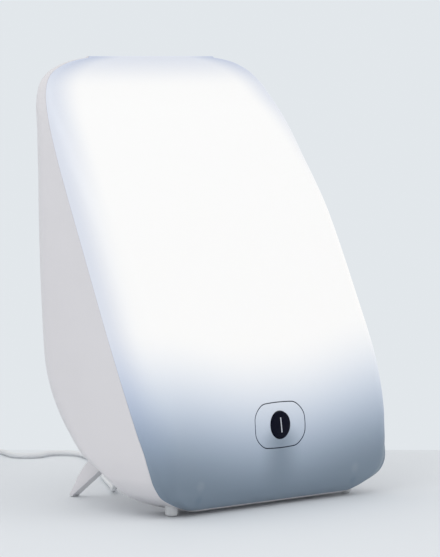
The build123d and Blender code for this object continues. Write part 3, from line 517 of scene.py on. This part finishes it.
def lathed(name, profile, origin, axis, steps=48):
    # a profile of (radius, distance along the axis) spun about an axis; all in millimetres
    along = Vector(axis).normalized()
    side = along.orthogonal().normalized()
    count = len(profile)
    bpy.ops.object.select_all(action="DESELECT")
    bpy.ops.mesh.primitive_circle_add(vertices=count, radius=1)
    piece = bpy.context.active_object
    piece.name = name
    for vertex, (radius, run) in zip(piece.data.vertices, profile):
        vertex.co = (Vector(origin) + along * run + side * radius) * mm
    bpy.ops.object.mode_set(mode="EDIT")
    bpy.ops.mesh.select_all(action="DESELECT")
    bpy.ops.object.mode_set(mode="OBJECT")
    for edge in piece.data.edges:
        edge.select = set(edge.vertices) == {0, count - 1}  # the circle's last edge isn't part of the profile
    bpy.ops.object.mode_set(mode="EDIT")
    bpy.ops.mesh.select_mode(type="EDGE")
    bpy.ops.mesh.delete(type="EDGE")
    bpy.ops.mesh.select_all(action="SELECT")
    bpy.ops.mesh.spin(steps=steps, angle=2 * math.pi, center=Vector(origin) * mm, axis=along)
    bpy.ops.object.mode_set(mode="OBJECT")
    mergeDoubles(piece)
    recalcNormals(piece)
    smoothByAngle(piece, 40)
    return piece


def arcProfile(radiusOut, runAt, size, quarter):
    # points of a rounded edge between a side wall and an end face
    points = []
    for step in range(5):
        angle = math.pi / 2 * step / 4
        if quarter == "start":  # from the end face to the side wall, going along the axis
            points.append((radiusOut - size + size * math.sin(angle), runAt + size - size * math.cos(angle)))
        else:
            points.append((radiusOut - size + size * math.cos(angle), runAt - size + size * math.sin(angle)))
    return points


def stopsOf(ramp, stops):
    # fills a colour ramp with (place, colour) stops
    elements = ramp.color_ramp.elements
    while len(elements) > 1:
        elements.remove(elements[-1])
    elements[0].position, elements[0].color = stops[0][0], stops[0][1]
    for place, color in stops[1:]:
        elements.new(place).color = color


glowFacts = {
    # the third colour here is painted shade for the cut edges in the narrow gaps
    "plastic": "#768594", "plasticInside": "#D9DCE0", "plasticGapShade": "#2E4466",
    # the tubes' light as it leaves the plastic in full, and bluer where it has spread down inside it
    "fullGlow": "#E0D9D0", "spreadGlow": "#D8E6FF",
    "dusk": (14, 176),  # the light comes up smoothly between these heights (mm)
    "arch": (20, 172, -5, 16),  # the dusk reaches higher at the sides: |x| from, |x| to, lift from, lift to
    # near the parting line and the top edge less light gets out; the fades are in mm
    "rimShare": "#D8DCEA", "rimFade": (2, 48), "topFade": (426, 464),
    # soft shadow of the switch: it fades over these heights and this half width (mm), and leaves this share
    "switchShadow": {"heights": (67, 90), "halfWidth": 35, "left": 0.25},
    # the lower screw wells show through as a painted patch of light with a painted shadow below it: (|x|,
    # height), radii, light added
    "wellLightAndShadow": [((0.1135, 0.0, 0.0305), 0.001, 0.008, 0.028),
                  ((0.1135, 0.0, 0.0165), 0.001, 0.007, -0.022)],
}


def makeOpalAcrylic(name, color, glows=False):
    # injection-moulded opal acrylic, satin outside: milky, with the tubes' light spread through it
    facts = glowFacts
    material, tree, shader = newMaterial(name, Roughness=0.42, IOR=1.49)
    place = addNode(tree, "ShaderNodeTexCoord").outputs["Object"]
    mottle = addNode(tree, "ShaderNodeTexNoise", {"Scale": 9.0, "Detail": 3.0, "Roughness": 0.5},
                     {"Vector": place})
    tone = addNode(tree, "ShaderNodeValToRGB", links={"Fac": mottle.outputs[0]})
    base = hexColor(facts[color])
    stopsOf(tone, [(0.3, [c * 0.985 for c in base[:3]] + [1]), (0.7, base)])
    tree.links.new(tone.outputs[0], shader.inputs["Base Color"])
    # eroded mould finish, drawn at 0.9 mm so that it shows
    grain = addNode(tree, "ShaderNodeTexNoise", {"Scale": 1100.0, "Detail": 2.0}, {"Vector": place})
    relief = addNode(tree, "ShaderNodeBump", {"Strength": 0.05, "Distance": 0.0002},
                     {"Height": grain.outputs[0]})
    tree.links.new(relief.outputs[0], shader.inputs["Normal"])
    if not glows:
        return material
    xyz = addNode(tree, "ShaderNodeSeparateXYZ", links={"Vector": place})
    off = addNode(tree, "ShaderNodeMath", {"operation": "ABSOLUTE"}, {0: xyz.outputs["X"]})
    archFrom, archTo, liftFrom, liftTo = [v * mm for v in facts["arch"]]
    lift = addNode(tree, "ShaderNodeMapRange", {"interpolation_type": "SMOOTHSTEP", "From Min": archFrom,
                                                "From Max": archTo,
                                                "To Min": liftFrom, "To Max": liftTo},
                                                {"Value": off.outputs[0]})
    lifted = addNode(tree, "ShaderNodeMath", {"operation": "SUBTRACT"},
                     {0: xyz.outputs["Z"], 1: lift.outputs[0]})
    start, end = [v * mm for v in facts["dusk"]]
    level = addNode(tree, "ShaderNodeMapRange", {"interpolation_type": "SMOOTHSTEP", "From Min": start,
                                                 "From Max": end}, {"Value": lifted.outputs[0]})
    tint = addNode(tree, "ShaderNodeMix", {"data_type": "RGBA", 6: hexColor(facts["spreadGlow"]),
                                           7: hexColor(facts["fullGlow"])}, {0: level.outputs[0]})
    ramp = addNode(tree, "ShaderNodeVectorMath", {"operation": "SCALE"},
                   {0: tint.outputs[2], "Scale": level.outputs[0]})
    rim, white = hexColor(facts["rimShare"]), hexColor("#FFFFFF")
    start, end = [v * mm for v in facts["topFade"]]
    atTop = addNode(tree, "ShaderNodeMapRange", {"interpolation_type": "SMOOTHSTEP", "From Min": start,
                                                 "From Max": end}, {"Value": xyz.outputs["Z"]})
    top = addNode(tree, "ShaderNodeMix", {"data_type": "RGBA", 6: white, 7: rim}, {0: atTop.outputs[0]})
    run = addNode(tree, "ShaderNodeSeparateXYZ", links={"Vector": addNode(
        tree, "ShaderNodeUVMap", {"uv_map": "UVMap"}).outputs[0]})
    start, end = [v / 100 for v in facts["rimFade"]]  # the UV map counts in tenths of a metre
    inward = addNode(tree, "ShaderNodeMapRange", {"interpolation_type": "SMOOTHSTEP", "From Min": start,
                                                  "From Max": end}, {"Value": run.outputs["X"]})
    edge = addNode(tree, "ShaderNodeMix", {"data_type": "RGBA", 6: rim, 7: white}, {0: inward.outputs[0]})
    # soft shadow of the switch, which stands between the tubes and the cover
    shadow = facts["switchShadow"]
    low, high, reach = [v * mm for v in (*shadow["heights"], shadow["halfWidth"])]
    over = addNode(tree, "ShaderNodeMapRange", {"From Min": low, "From Max": high, "To Max": reach},
                   {"Value": xyz.outputs["Z"]})
    aside = addNode(tree, "ShaderNodeCombineXYZ", links={"X": off.outputs[0], "Z": over.outputs[0]})
    away = addNode(tree, "ShaderNodeVectorMath", {"operation": "LENGTH"}, {0: aside.outputs[0]})
    shade = addNode(tree, "ShaderNodeMapRange", {"interpolation_type": "SMOOTHSTEP", "From Max": reach,
                                                 "To Min": shadow["left"]}, {"Value": away.outputs["Value"]})
    glow = addNode(tree, "ShaderNodeVectorMath", {"operation": "MULTIPLY"},
                   {0: ramp.outputs[0], 1: edge.outputs[2]})
    faded = addNode(tree, "ShaderNodeVectorMath", {"operation": "MULTIPLY"},
                    {0: glow.outputs[0], 1: top.outputs[2]})
    shaded = addNode(tree, "ShaderNodeVectorMath", {"operation": "SCALE"},
                     {0: faded.outputs[0], "Scale": shade.outputs[0]})
    lit = shaded
    mirrored = addNode(tree, "ShaderNodeCombineXYZ", links={"X": off.outputs[0], "Z": xyz.outputs["Z"]})
    # painted light and painted shade over the screw wells, added to the glow
    for spot, near, far, added in facts["wellLightAndShadow"]:
        off = addNode(tree, "ShaderNodeVectorMath", {"operation": "DISTANCE", 1: spot},
                      {0: mirrored.outputs[0]})
        patch = addNode(tree, "ShaderNodeMapRange", {"interpolation_type": "SMOOTHSTEP", "From Min": near,
                                                     "From Max": far, "To Min": added, "To Max": 0.0},
                        {"Value": off.outputs["Value"]})
        lit = addNode(tree, "ShaderNodeVectorMath", {"operation": "ADD"},
                      {0: lit.outputs[0], 1: patch.outputs[0]})
    tree.links.new(lit.outputs[0], shader.inputs["Emission Color"])
    shader.inputs["Emission Strength"].default_value = 1.0
    return material


litAcrylic = makeOpalAcrylic("opalAcrylicLit", "plastic", glows=True)
unlitAcrylic = makeOpalAcrylic("opalAcrylicInside", "plasticInside")
gapShadeAcrylic = makeOpalAcrylic("opalAcrylicGapShade",
                              "plasticGapShade")  # cut edges in the narrow gap, where no light gets out, darkened as painted shade


def makeMoulded(name, color, roughness, grain, bump, ior=1.5, driftShare=0.03):
    # injection-moulded plastic: even colour with a slow drift of tone, and the fine texture of the mould;
    # a real mould's grain is near 0.1 mm, and it is drawn at `grain` millimetres so that it shows
    material, tree, shader = newMaterial(name, Roughness=roughness, IOR=ior)
    place = addNode(tree, "ShaderNodeTexCoord").outputs["Object"]
    drift = addNode(tree, "ShaderNodeTexNoise", {"Scale": 7.0, "Detail": 2.0}, {"Vector": place})
    tone = addNode(tree, "ShaderNodeValToRGB", links={"Fac": drift.outputs[0]})
    base = hexColor(color)
    stopsOf(tone, [(0.35, [c * (1 - driftShare) for c in base[:3]] + [1]), (0.65, base)])
    tree.links.new(tone.outputs[0], shader.inputs["Base Color"])
    peel = addNode(tree, "ShaderNodeTexNoise", {"Scale": 1000 / grain, "Detail": 2.0, "Roughness": 0.6},
                   {"Vector": place})
    relief = addNode(tree, "ShaderNodeBump", {"Strength": bump, "Distance": 0.0003},
                     {"Height": peel.outputs[0]})
    tree.links.new(relief.outputs[0], shader.inputs["Normal"])
    return material


def makeMetal(name, color, roughness, streaks, direction=(1, 1, 1)):
    # bare or plated metal, with the marks of how it was drawn or rolled, `streaks` millimetres wide
    material, tree, shader = newMaterial(name, Roughness=roughness, Metallic=1.0)
    shader.inputs["Base Color"].default_value = hexColor(color)
    place = addNode(tree, "ShaderNodeTexCoord").outputs["Object"]
    stretched = addNode(tree, "ShaderNodeMapping", {"Scale": direction}, {"Vector": place})
    streak = addNode(tree, "ShaderNodeTexNoise", {"Scale": 1000 / streaks, "Detail": 3.0},
                     {"Vector": stretched.outputs[0]})
    rough = addNode(tree, "ShaderNodeMapRange", {"To Min": roughness * 0.8, "To Max": roughness * 1.25},
                    {"Value": streak.outputs[0]})
    tree.links.new(rough.outputs[0], shader.inputs["Roughness"])
    relief = addNode(tree, "ShaderNodeBump", {"Strength": 0.06, "Distance": 0.0002},
                     {"Height": streak.outputs[0]})
    tree.links.new(relief.outputs[0], shader.inputs["Normal"])
    return material


whiteAbs = makeMoulded("whiteAbs", "#D9D7DA", 0.36, 1.1, 0.05)  # fine-textured white shell plastic
blackAbs = makeMoulded("blackAbsButton", "#04071A", 0.4, 1.4, 0.04)  # near black, softly shiny
blackAbs.node_tree.nodes["Principled BSDF"].inputs["Specular IOR Level"].default_value = 0.07
greyPrint = makeMoulded("greyMark", "#C9CED6", 0.5, 1.1, 0.03)  # pale inlaid mark
softWhiteTpe = makeMoulded("softWhiteTpe", "#D3D5D7", 0.62, 2.0, 0.12)  # matt elastomer of feet and pads
whitePvc = makeMoulded("whitePvc", "#DEE0E2", 0.45, 1.7, 0.05)  # flexible cord, boot and plug
darkPbt = makeMoulded("darkPbt", "#2A2C30", 0.5, 1.4, 0.08)  # switch housing
slateAbsGapShade = makeMoulded("slateAbsGapShade", "#37465C", 0.5, 1.4,
                       0.05)  # frame behind the open line round the switch panel, dark as painted shade of that line
whitePbt = makeMoulded("whitePbt", "#D8D4C8", 0.45, 1.4, 0.06)  # heat-resistant lamp holders and bases
natureNylon = makeMoulded("naturalNylon", "#CFC8B4", 0.5, 1.4, 0.06)  # terminal block
zincSteel = makeMetal("zincPlatedSteel", "#B9BDC1", 0.34, 3.3)  # bluish plated screws and pins
springSteel = makeMetal("springSteel", "#8F9296", 0.3, 2.5)
sheetSteel = makeMetal("galvanisedSheet", "#A9ADB0", 0.45, 16.7,
                       (1, 1, 0.2))  # spangled sheet of ballast and bracket
brass = makeMetal("brassPins", "#C8A764", 0.3, 2.5)
nickel = makeMetal("nickelPlatedBrass", "#C6C4BE", 0.22, 2.5)
trayEnamel = makeMoulded("whiteEnamelSheet", "#E4E6E7", 0.22, 4.0, 0.04)  # glossy reflector sheet


def makePhosphorGlass():
    # fluorescent tube: clear glass over a white phosphor coat, lit from within
    material, tree, shader = newMaterial("phosphorGlass", Roughness=0.12, IOR=1.5, Emission_Strength=1.0)
    shader.inputs["Base Color"].default_value = hexColor("#F2F4F5")
    place = addNode(tree, "ShaderNodeTexCoord").outputs["Object"]
    xyz = addNode(tree, "ShaderNodeSeparateXYZ", links={"Vector": place})
    ends = addNode(tree, "ShaderNodeMapRange",
                   {"From Min": 0.10, "From Max": 0.14, "To Min": 0.35, "To Max": 1.0},
                   {"Value": xyz.outputs["Z"]})
    tone = addNode(tree, "ShaderNodeValToRGB", links={"Fac": ends.outputs[0]})
    stopsOf(tone, [(0.0, hexColor("#3A3C3E")), (1.0, hexColor("#F4F7FA"))])
    tree.links.new(tone.outputs[0], shader.inputs["Emission Color"])
    return material


phosphorGlass = makePhosphorGlass()
print("materials made")

nodeFinish = {
    "panel_frame": slateAbsGapShade, "reflector_tray": trayEnamel, "left_tube": phosphorGlass,
    "right_tube": phosphorGlass,
    "left_tube_base": whitePbt, "right_tube_base": whitePbt, "left_tube_pins": brass,
    "right_tube_pins": brass,
    "left_lamp_holder": whitePbt, "right_lamp_holder": whitePbt, "left_tube_clip": springSteel,
    "right_tube_clip": springSteel, "ballast": sheetSteel, "terminal_block": natureNylon,
    "switch_bracket": sheetSteel, "switch_body": darkPbt, "tray_screws": zincSteel,
    "housing_screws": zincSteel, "hinge_pins": zincSteel, "plug_pins": nickel,
}
for nodeName, finish in nodeFinish.items():
    dress(nodes[nodeName], finish)
dress(cord, whitePvc)
dress(cordInside, whitePvc)


ringFacts = {"width": 74.0, "height": 47.5, "corner": 15.5, "bulge": 2.0, "line": 0.9, "centre": 84.0,
             "points": 96}


def ringOutline(shrink):
    # the gently bowed rounded outline round the button, as (x, z)
    facts = ringFacts
    a, b = facts["width"] / 2 - shrink, facts["height"] / 2 - shrink
    w, r = facts["bulge"], facts["corner"] - shrink
    reachX, reachZ = a - w, b - w
    straight = [reachX - r, reachZ - r]
    quarter = []
    lengths = [straight[1], (r + 12) * math.pi / 2, straight[0]]
    count = facts["points"] // 4
    for i in range(count):
        run = sum(lengths) * i / count
        if run <= lengths[0]:
            x, z = reachX, run
        elif run <= lengths[0] + lengths[1]:
            angle = (run - lengths[0]) / (r + 12)
            x, z = reachX - r + r * math.cos(angle), reachZ - r + r * math.sin(angle)
        else:
            x, z = sum(lengths) - run, reachZ
        quarter.append((x, z))
    mirrored = [(-x, z) for x, z in quarter]
    outline = quarter + [(0.0, reachZ)] + list(reversed(mirrored[1:])) + [(-reachX, 0.0)]
    outline += [(-x, -z) for x, z in quarter[1:]] + [(0.0, -reachZ)] + [(x, -z) for x,
                                                                        z in reversed(quarter[1:])]
    bowed = []
    for x, z in outline:
        bowed.append((x + math.copysign(w * (1 - (z / reachZ) ** 2), x) * (abs(x) / reachX) ** 4,
                      facts["centre"] + z + math.copysign(w * (1 - (x / reachX) ** 2),
                                                          z) * (abs(z) / reachZ) ** 4))
    return bowed


def makeFrontCover():
    rows = shellRows("front", -formFacts["seamGap"] / 2, formFacts["seamLow"] + 0.3, 44)
    cover = gridPiece("frontCoverShell", rows)
    noteRun(cover, rows)
    cover.data.materials.append(litAcrylic)
    cover.data.materials.append(unlitAcrylic)
    facesAway(cover, (0, 0.05, 0.25))
    thicken(cover, formFacts["wall"], innerSlot=1)
    opening = prismFrom("ringCutter", [(x, frontY - 12, z) for x, z in ringOutline(0)], (0, 1, 0), 24)
    cutWith(cover, opening)
    bpy.data.objects.remove(opening)
    cover.data.materials.append(gapShadeAcrylic)
    reach, middle = ringFacts["width"] * 0.52 * mm, ringFacts["centre"] * mm
    # the opening's cut edges take the darker painted-shade acrylic
    for face in cover.data.polygons:
        if abs(face.normal.y) < 0.3 and abs(face.center.x) < reach and abs(face.center.z - middle) < reach:
            face.material_index = 2
    smoothByAngle(cover, 35)
    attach(cover, "housing")
    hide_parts("front_cover")
    return cover


frontCover = makeFrontCover()
print("front cover made")


panelFacts = {"hole": 14.5, "rows": 10, "edge": 0.35}


def makeSwitchPanel():
    outline = ringOutline(ringFacts["line"])
    centre = ringFacts["centre"]
    rows = []
    for step in range(panelFacts["rows"] + 1):
        share = step / panelFacts["rows"]
        row = []
        for x, z in outline + outline[:1]:
            angle = math.atan2(z - centre, x)
            hx, hz = panelFacts["hole"] * math.cos(angle), centre + panelFacts["hole"] * math.sin(angle)
            px, pz = hx + (x - hx) * share, hz + (z - hz) * share
            row.append((px, frontY + frontAt(pz), pz))
        rows.append(row)
    panel = gridPiece("switchPanelPlate", rows)
    for corner in panel.data.uv_layers.active.data:
        corner.uv = (1.0, 0.0)  # the panel lies far from the parting line
    mergeDoubles(panel)
    panel.data.materials.append(litAcrylic)
    panel.data.materials.append(unlitAcrylic)
    facesAway(panel, (0, 0.1, 0.08))
    thicken(panel, formFacts["wall"], innerSlot=1)
    panel.data.materials.append(gapShadeAcrylic)
    # the panel's cut edges take the darker painted-shade acrylic
    for face in panel.data.polygons:
        if abs(face.normal.y) < 0.3:
            face.material_index = 2
    bevelEdges(panel, panelFacts["edge"] * mm, 2, 50)
    smoothByAngle(panel, 35)
    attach(panel, "housing")
    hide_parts("switch_panel")
    return panel


switchPanel = makeSwitchPanel()
print("switch panel made")


housingFacts = {
    "vents": [(385, 44), (300, 44), (215, 30)], "ventCount": 9, "ventPitch": 16, "ventWidth": 4,
    "wells": [(-112.0, 27.0, 24.0), (112.0, 27.0, 24.0), (-100.0, 424.0, 187.0), (100.0, 424.0, 187.0)],
    "well": 6.4, "boss": 9.0, "glandHole": 9.4, "footSocket": 13.4, "footPlace": (128.0, 28.6),
    "lugThick": 5.0,
    "lugs": (82.6, 98.4), "lugOutline": [(118.5, 55.5), (143, 47.2), (150, 47.4), (155.8, 53.5), (156.2, 64),
                                         (152.0, 84)],
}
glandAxis = Vector((0, math.cos(math.radians(48)), -math.sin(math.radians(48))))
glandRoot = Vector((-58, frontY + rearAt(68.0), 68.0))


def roundedSlot(x, z, height, width, steps=6, turn=0.0):
    # a slot's outline as (x, z), leaning towards -x at its top by turn degrees
    r, reach = width / 2, height / 2 - width / 2
    lean, ends = math.radians(turn), []
    for middle, start in ((reach, 0.0), (-reach, math.pi)):
        for i in range(steps + 1):
            a, b = r * math.cos(start + math.pi * i / steps), middle + r * math.sin(start + math.pi * i / steps)
            ends.append((x + a * math.cos(lean) - b * math.sin(lean),
                         z + a * math.sin(lean) + b * math.cos(lean)))
    return ends


def circlePlaces(centre, axis, radius, steps=40):
    along = Vector(axis).normalized()
    side = along.orthogonal().normalized()
    up = along.cross(side)
    return [Vector(centre) + (side * math.cos(2 * math.pi * i / steps) + up * math.sin(2 * math.pi * i / steps)) * radius
            for i in range(steps)]


def makeRearHousing():
    facts, gap = housingFacts, formFacts["seamGap"] / 2
    low = formFacts["seamLow"] - gap
    split = seamAt(formFacts["seamLow"]) + gap
    # full rings below the parting line's lowest run
    ringRows = []
    rearCount, frontCount = 46, 40
    for z in heights(formFacts["bottom"], low, rowStops):
        back = sectionRow(z, "rear", 0, split, rearCount)
        front = sectionRow(z, "front", 0, split, frontCount)
        ringRows.append(back + list(reversed(front)))
    lower = gridPiece("lowerRings", ringRows, wrap=True)
    rows = shellRows("rear", gap, low, rearCount)
    rows[0] = sectionRow(low, "rear", 0, split, rearCount)
    upper = gridPiece("rearShell", rows)
    shell = join([upper, lower])
    mergeDoubles(shell)
    onlySelect(shell)
    bpy.ops.object.mode_set(mode="EDIT")
    bpy.ops.mesh.select_all(action="DESELECT")
    bpy.ops.object.mode_set(mode="OBJECT")
    floorZ = formFacts["bottom"] * mm
    for edge in shell.data.edges:
        if all(abs(shell.data.vertices[i].co.z - floorZ) < 1e-5 for i in edge.vertices):
            edge.select = True
    bpy.ops.object.mode_set(mode="EDIT")
    bpy.ops.mesh.select_mode(type="EDGE")
    bpy.ops.mesh.edge_face_add()
    bpy.ops.object.mode_set(mode="OBJECT")
    facesAway(shell, (0, 0.0, 0.2))
    thicken(shell, formFacts["wall"])
    cutters = []
    for z, height in facts["vents"]:
        for i in range(facts["ventCount"]):
            x = (i - (facts["ventCount"] - 1) / 2) * facts["ventPitch"]
            outline = [(px, frontY + 170, pz) for px, pz in roundedSlot(x, z, height, facts["ventWidth"])]
            cutters.append(prismFrom("ventCutter", outline, (0, 1, 0), 60))
    for x, z, depth in facts["wells"]:
        start = (x, frontY + rearAt(z) - 12, z)
        cutters.append(prismFrom("wellCutter", circlePlaces(start, (0, 1, 0), facts["well"] / 2),
                                 (0, 1, 0), 40))
    start = glandRoot - glandAxis * 12
    cutters.append(prismFrom("glandCutter", circlePlaces(start, glandAxis, facts["glandHole"] / 2),
                             glandAxis, 24))
    for x in (-1, 1):
        start = (x * facts["footPlace"][0], frontY + facts["footPlace"][1], -2)
        cutters.append(prismFrom("footCutter", circlePlaces(start, (0, 0, 1), facts["footSocket"] / 2),
                                 (0, 0, 1), 14))
    cutter = join(cutters)
    cutWith(shell, cutter)
    bpy.data.objects.remove(cutter)
    shell.name = "rearHousingShell"
    dress(shell, whiteAbs)
    smoothByAngle(shell, 35)
    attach(shell, "housing")
    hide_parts("rear_housing")
    return shell


rearHousing = makeRearHousing()
print("rear housing made")


def makeSeamLip():
    # the housing's rim that the cover slips over: closes the parting line from behind
    reach, back = 5.0, formFacts["wall"] + 0.15
    pieces = []
    for side in (-1, 1):
        rows = []
        for z in heights(7.0, 434.0, [(40, 2), (110, 3), (350, 6), (434, 3)]):
            row = []
            for step in range(5):
                q = seamAt(z) - frontAt(z) + reach * (step - 2) / 2
                half, corner = halfWidthAt(z), frontCornerAt(z)
                inner = max(corner - back, 0.8)
                if q >= corner:
                    x, behind = half - back, q
                else:
                    angle = math.asin(max(min((corner - q) / corner, 1), 0))
                    x = half - corner + inner * math.cos(angle)
                    behind = corner - inner * math.sin(angle)
                row.append((side * x, frontY + frontAt(z) + behind, z))
            rows.append(row)
        pieces.append(gridPiece("lipSide", rows))
    rows = []
    for z in (6.4, 8.0, 9.6, 11.2):
        rows.append(sectionRow(z, "front", back, seamAt(z) + 2, 30))
    pieces.append(gridPiece("lipFront", rows))
    for piece in pieces:
        facesAway(piece, (0, 0.02, 0.2))
        thicken(piece, 1.6)
    lip = join(pieces)
    lip.name = "seamLip"
    dress(lip, whiteAbs)
    smoothByAngle(lip, 35)
    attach(lip, "housing")
    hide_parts("rear_housing")
    return lip


seamLip = makeSeamLip()


def makeHousingFittings():
    facts, pieces = housingFacts, []
    for x, z, depth in facts["wells"]:
        ro, ri = facts["boss"] / 2, facts["well"] / 2 - 0.05
        end = rearAt(z) - 1.3 - depth
        tube = lathed("wellTube", [(ro, 0), (ro, end), (ri, end), (ri, 1.0), (1.7, 1.0), (1.7, 0.0), (ro, 0)],
                      (x, frontY + depth - 1.0, z), (0, 1, 0), 40)
        for vertex in tube.data.vertices:  # its rear end follows the sloping wall
            if vertex.co.y > (frontY + depth + end * 0.6) * mm:
                vertex.co.y = (frontY + rearAt(vertex.co.z / mm) - 1.3) * mm
        pieces.append(tube)
    for side in (-1, 1):
        for start in facts["lugs"]:
            x = side * start if side > 0 else side * (start + facts["lugThick"])
            lug = prismFrom("legLug", [(x, frontY + d, z) for d, z in facts["lugOutline"]], (1, 0, 0),
                            facts["lugThick"])
            bore = prismFrom("lugBore", circlePlaces((x - 5, frontY + 146, 57), (1, 0, 0), 3.05),
                             (1, 0, 0), 20)
            cutWith(lug, bore)
            bpy.data.objects.remove(bore)
            bevelEdges(lug, 0.0007, 3, 50)
            pieces.append(lug)
    fittings = join(pieces)
    fittings.name = "lugsAndWells"
    dress(fittings, whiteAbs)
    smoothByAngle(fittings, 35)
    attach(fittings, "housing")
    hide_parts("rear_housing")
    return fittings


housingFittings = makeHousingFittings()
print("lip, lugs and screw wells made")


buttonFacts = {"diameter": 28.0, "proud": 1.0, "back": 7.0, "round": 1.2, "dome": 0.35, "height": 84.0,
               "stem": 8.0, "collar": (12.0, 22.0, 2.5), "stemEnd": 29.5, "mark": (16.0, 1.5, 0.5),
               "markTurn": 8.0}


def makeButton():
    facts = buttonFacts
    r, face = facts["diameter"] / 2, -facts["proud"]
    centre = (0, frontY, facts["height"])
    profile = [(0, face)]
    for share in (0.2, 0.4, 0.6, 0.75, 0.87):
        profile.append(((r - facts["round"]) * share, face + facts["dome"] * share**2))
    profile += arcProfile(r, face + facts["dome"], facts["round"], "start")
    c, at, thick = facts["collar"]
    profile += [(r, facts["back"] - 0.4), (r - 0.4, facts["back"]), (facts["stem"] / 2, facts["back"]),
                (facts["stem"] / 2, at), (c / 2 - 0.3, at), (c / 2, at + 0.3), (c / 2, at + thick - 0.3),
                (c / 2 - 0.3, at + thick), (facts["stem"] / 2, at + thick),
                (facts["stem"] / 2, facts["stemEnd"] - 0.4),
                (facts["stem"] / 2 - 0.4, facts["stemEnd"]), (0, facts["stemEnd"])]
    cap = lathed("buttonCapDomed", profile, centre, (0, 1, 0), 96)
    length, width, deep = facts["mark"]
    outline = [(x, frontY + face - 1, z) for x,
               z in roundedSlot(0, facts["height"], length + 0.1, width + 0.1, 8, facts["markTurn"])]
    groove = prismFrom("markGroove", outline, (0, 1, 0), 1 + deep)
    cutWith(cap, groove)
    bpy.data.objects.remove(groove)
    dress(cap, blackAbs)
    smoothByAngle(cap, 35)
    mark = prismFrom("buttonMarkInlay", [(x, frontY + face + deep, z) for x, z in
                                         roundedSlot(0, facts["height"], length, width, 8,
                                                     facts["markTurn"])],
                     (0, -1, 0), deep - 0.12)
    bevelEdges(mark, 0.00012, 2, 50)
    dress(mark, greyPrint)
    smoothByAngle(mark, 35)
    for piece, node, slotName in ((cap, "button_cap", "button_black"), (mark, "button_mark", "mark_grey")):
        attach(piece, "button")
        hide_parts(node)
    return cap, mark


buttonCap, buttonMark = makeButton()

springFacts = {"wire": 1.0, "outside": 12.0, "turns": 4, "front": 7.0, "seat": 17.0, "travel": 3.0,
               "steps": 32}


def makeSpring():
    # steel wire wound round the button's stem: it shortens towards its seat as the button goes in
    facts = springFacts
    length, radius = facts["seat"] - facts["front"], (facts["outside"] - facts["wire"]) / 2
    bpy.ops.object.select_all(action="DESELECT")
    bpy.ops.mesh.primitive_circle_add(vertices=12, radius=facts["wire"] / 2 * mm,
                                      location=(radius * mm, 0, 0))
    spring = bpy.context.active_object
    spring.name = "pressSpring"
    settle(spring)
    winding = spring.modifiers.new("winding", "SCREW")
    winding.axis, winding.iterations = "Y", facts["turns"]
    winding.steps = winding.render_steps = facts["steps"]
    winding.screw_offset = (length - facts["wire"]) / facts["turns"] * mm
    applyAll(spring)
    spring.location = (0, (frontY + facts["front"] + facts["wire"] / 2) * mm, buttonFacts["height"] * mm)
    settle(spring)
    bpy.ops.object.mode_set(mode="EDIT")
    bpy.ops.mesh.select_all(action="SELECT")
    bpy.ops.mesh.fill_holes(sides=0)
    bpy.ops.object.mode_set(mode="OBJECT")
    recalcNormals(spring)
    smoothByAngle(spring, 40)
    dress(spring, springSteel)
    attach(spring, nodes["button_spring"]["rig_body"])
    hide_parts("button_spring")
    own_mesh(spring)


makeSpring()
print("button and its spring made")


footFacts = {"diameter": 13.0, "top": 12.0, "round": 3.2}


def makeFeet():
    facts = footFacts
    r = facts["diameter"] / 2
    for name, side in (("left_foot", -1), ("right_foot", 1)):
        profile = [(0, 0.35), (r * 0.3, 0.35), (r * 0.36, 0.0)]
        profile += arcProfile(r, 0, facts["round"], "start")
        profile += [(r, facts["top"] - 0.5), (r - 0.5, facts["top"]), (0, facts["top"])]
        x, depth = housingFacts["footPlace"]
        foot = lathed(name + "_round", profile, (side * x, frontY + depth, 0), (0, 0, 1), 48)
        dress(foot, softWhiteTpe)
        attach(foot, "housing")
        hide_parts(name)


makeFeet()
for legName, finish, width in (("left_leg", whiteAbs, 0.0009), ("right_leg", whiteAbs, 0.0009),
                               ("left_leg_pad", softWhiteTpe, 0.0003),
                               ("right_leg_pad", softWhiteTpe, 0.0003)):
    leg = softened(legName, width, 3, 30)
    dress(leg, finish)
print("feet and legs made")


bootFacts = {"length": 45.0, "root": 11.0, "end": 7.8, "neck": 9.0, "flange": 17.0, "ribs": 7, "bore": 5.9}


def makeBoot():
    facts = bootFacts
    ri = facts["bore"] / 2
    profile = [(ri, -4.6), (facts["neck"] / 2 + 1.5, -4.6), (facts["neck"] / 2 + 1.5, -2.9),
               (facts["neck"] / 2, -2.9),
               (facts["neck"] / 2, 0.3)]
    profile += [(facts["flange"] / 2 - 0.5, 0.3), (facts["flange"] / 2, 0.8), (facts["flange"] / 2, 1.7),
                (facts["flange"] / 2 - 0.2, 2.1), (facts["flange"] / 2 - 0.6, 2.3),
                (facts["root"] / 2 + 0.5, 2.3),
                (facts["root"] / 2, 2.8)]
    pitch = (facts["length"] - 8) / facts["ribs"]

    def radiusAt(run):
        return facts["root"] / 2 + (facts["end"] - facts["root"]) / 2 * run / facts["length"]

    for i in range(facts["ribs"]):
        start = 6 + i * pitch
        end = start + pitch * 0.45
        profile += [(radiusAt(start) - 0.05, start - 0.35), (radiusAt(start) - 0.25, start - 0.08),
                    (radiusAt(start) - 0.6, start + 0.25), (radiusAt(end) - 0.6, end - 0.25),
                    (radiusAt(end) - 0.25, end + 0.08), (radiusAt(end) - 0.05, end + 0.35)]
    profile += [(radiusAt(44.3), 44.3), (radiusAt(45) - 0.35, 44.85), (radiusAt(45) - 0.8, 45.0),
                (ri, 45.0), (ri, -4.6)]
    boot = lathed("cordBoot", profile, glandRoot, glandAxis, 40)
    dress(boot, whitePvc)
    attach(boot, "housing")
    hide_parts("strain_relief")


makeBoot()
plug = softened("plug", 0.0006, 3, 30)
tie = softened("coil_tie", 0.0002, 2, 30)
for piece in (plug, tie):
    dress(piece, whitePvc)
print("boot, plug and tie made")
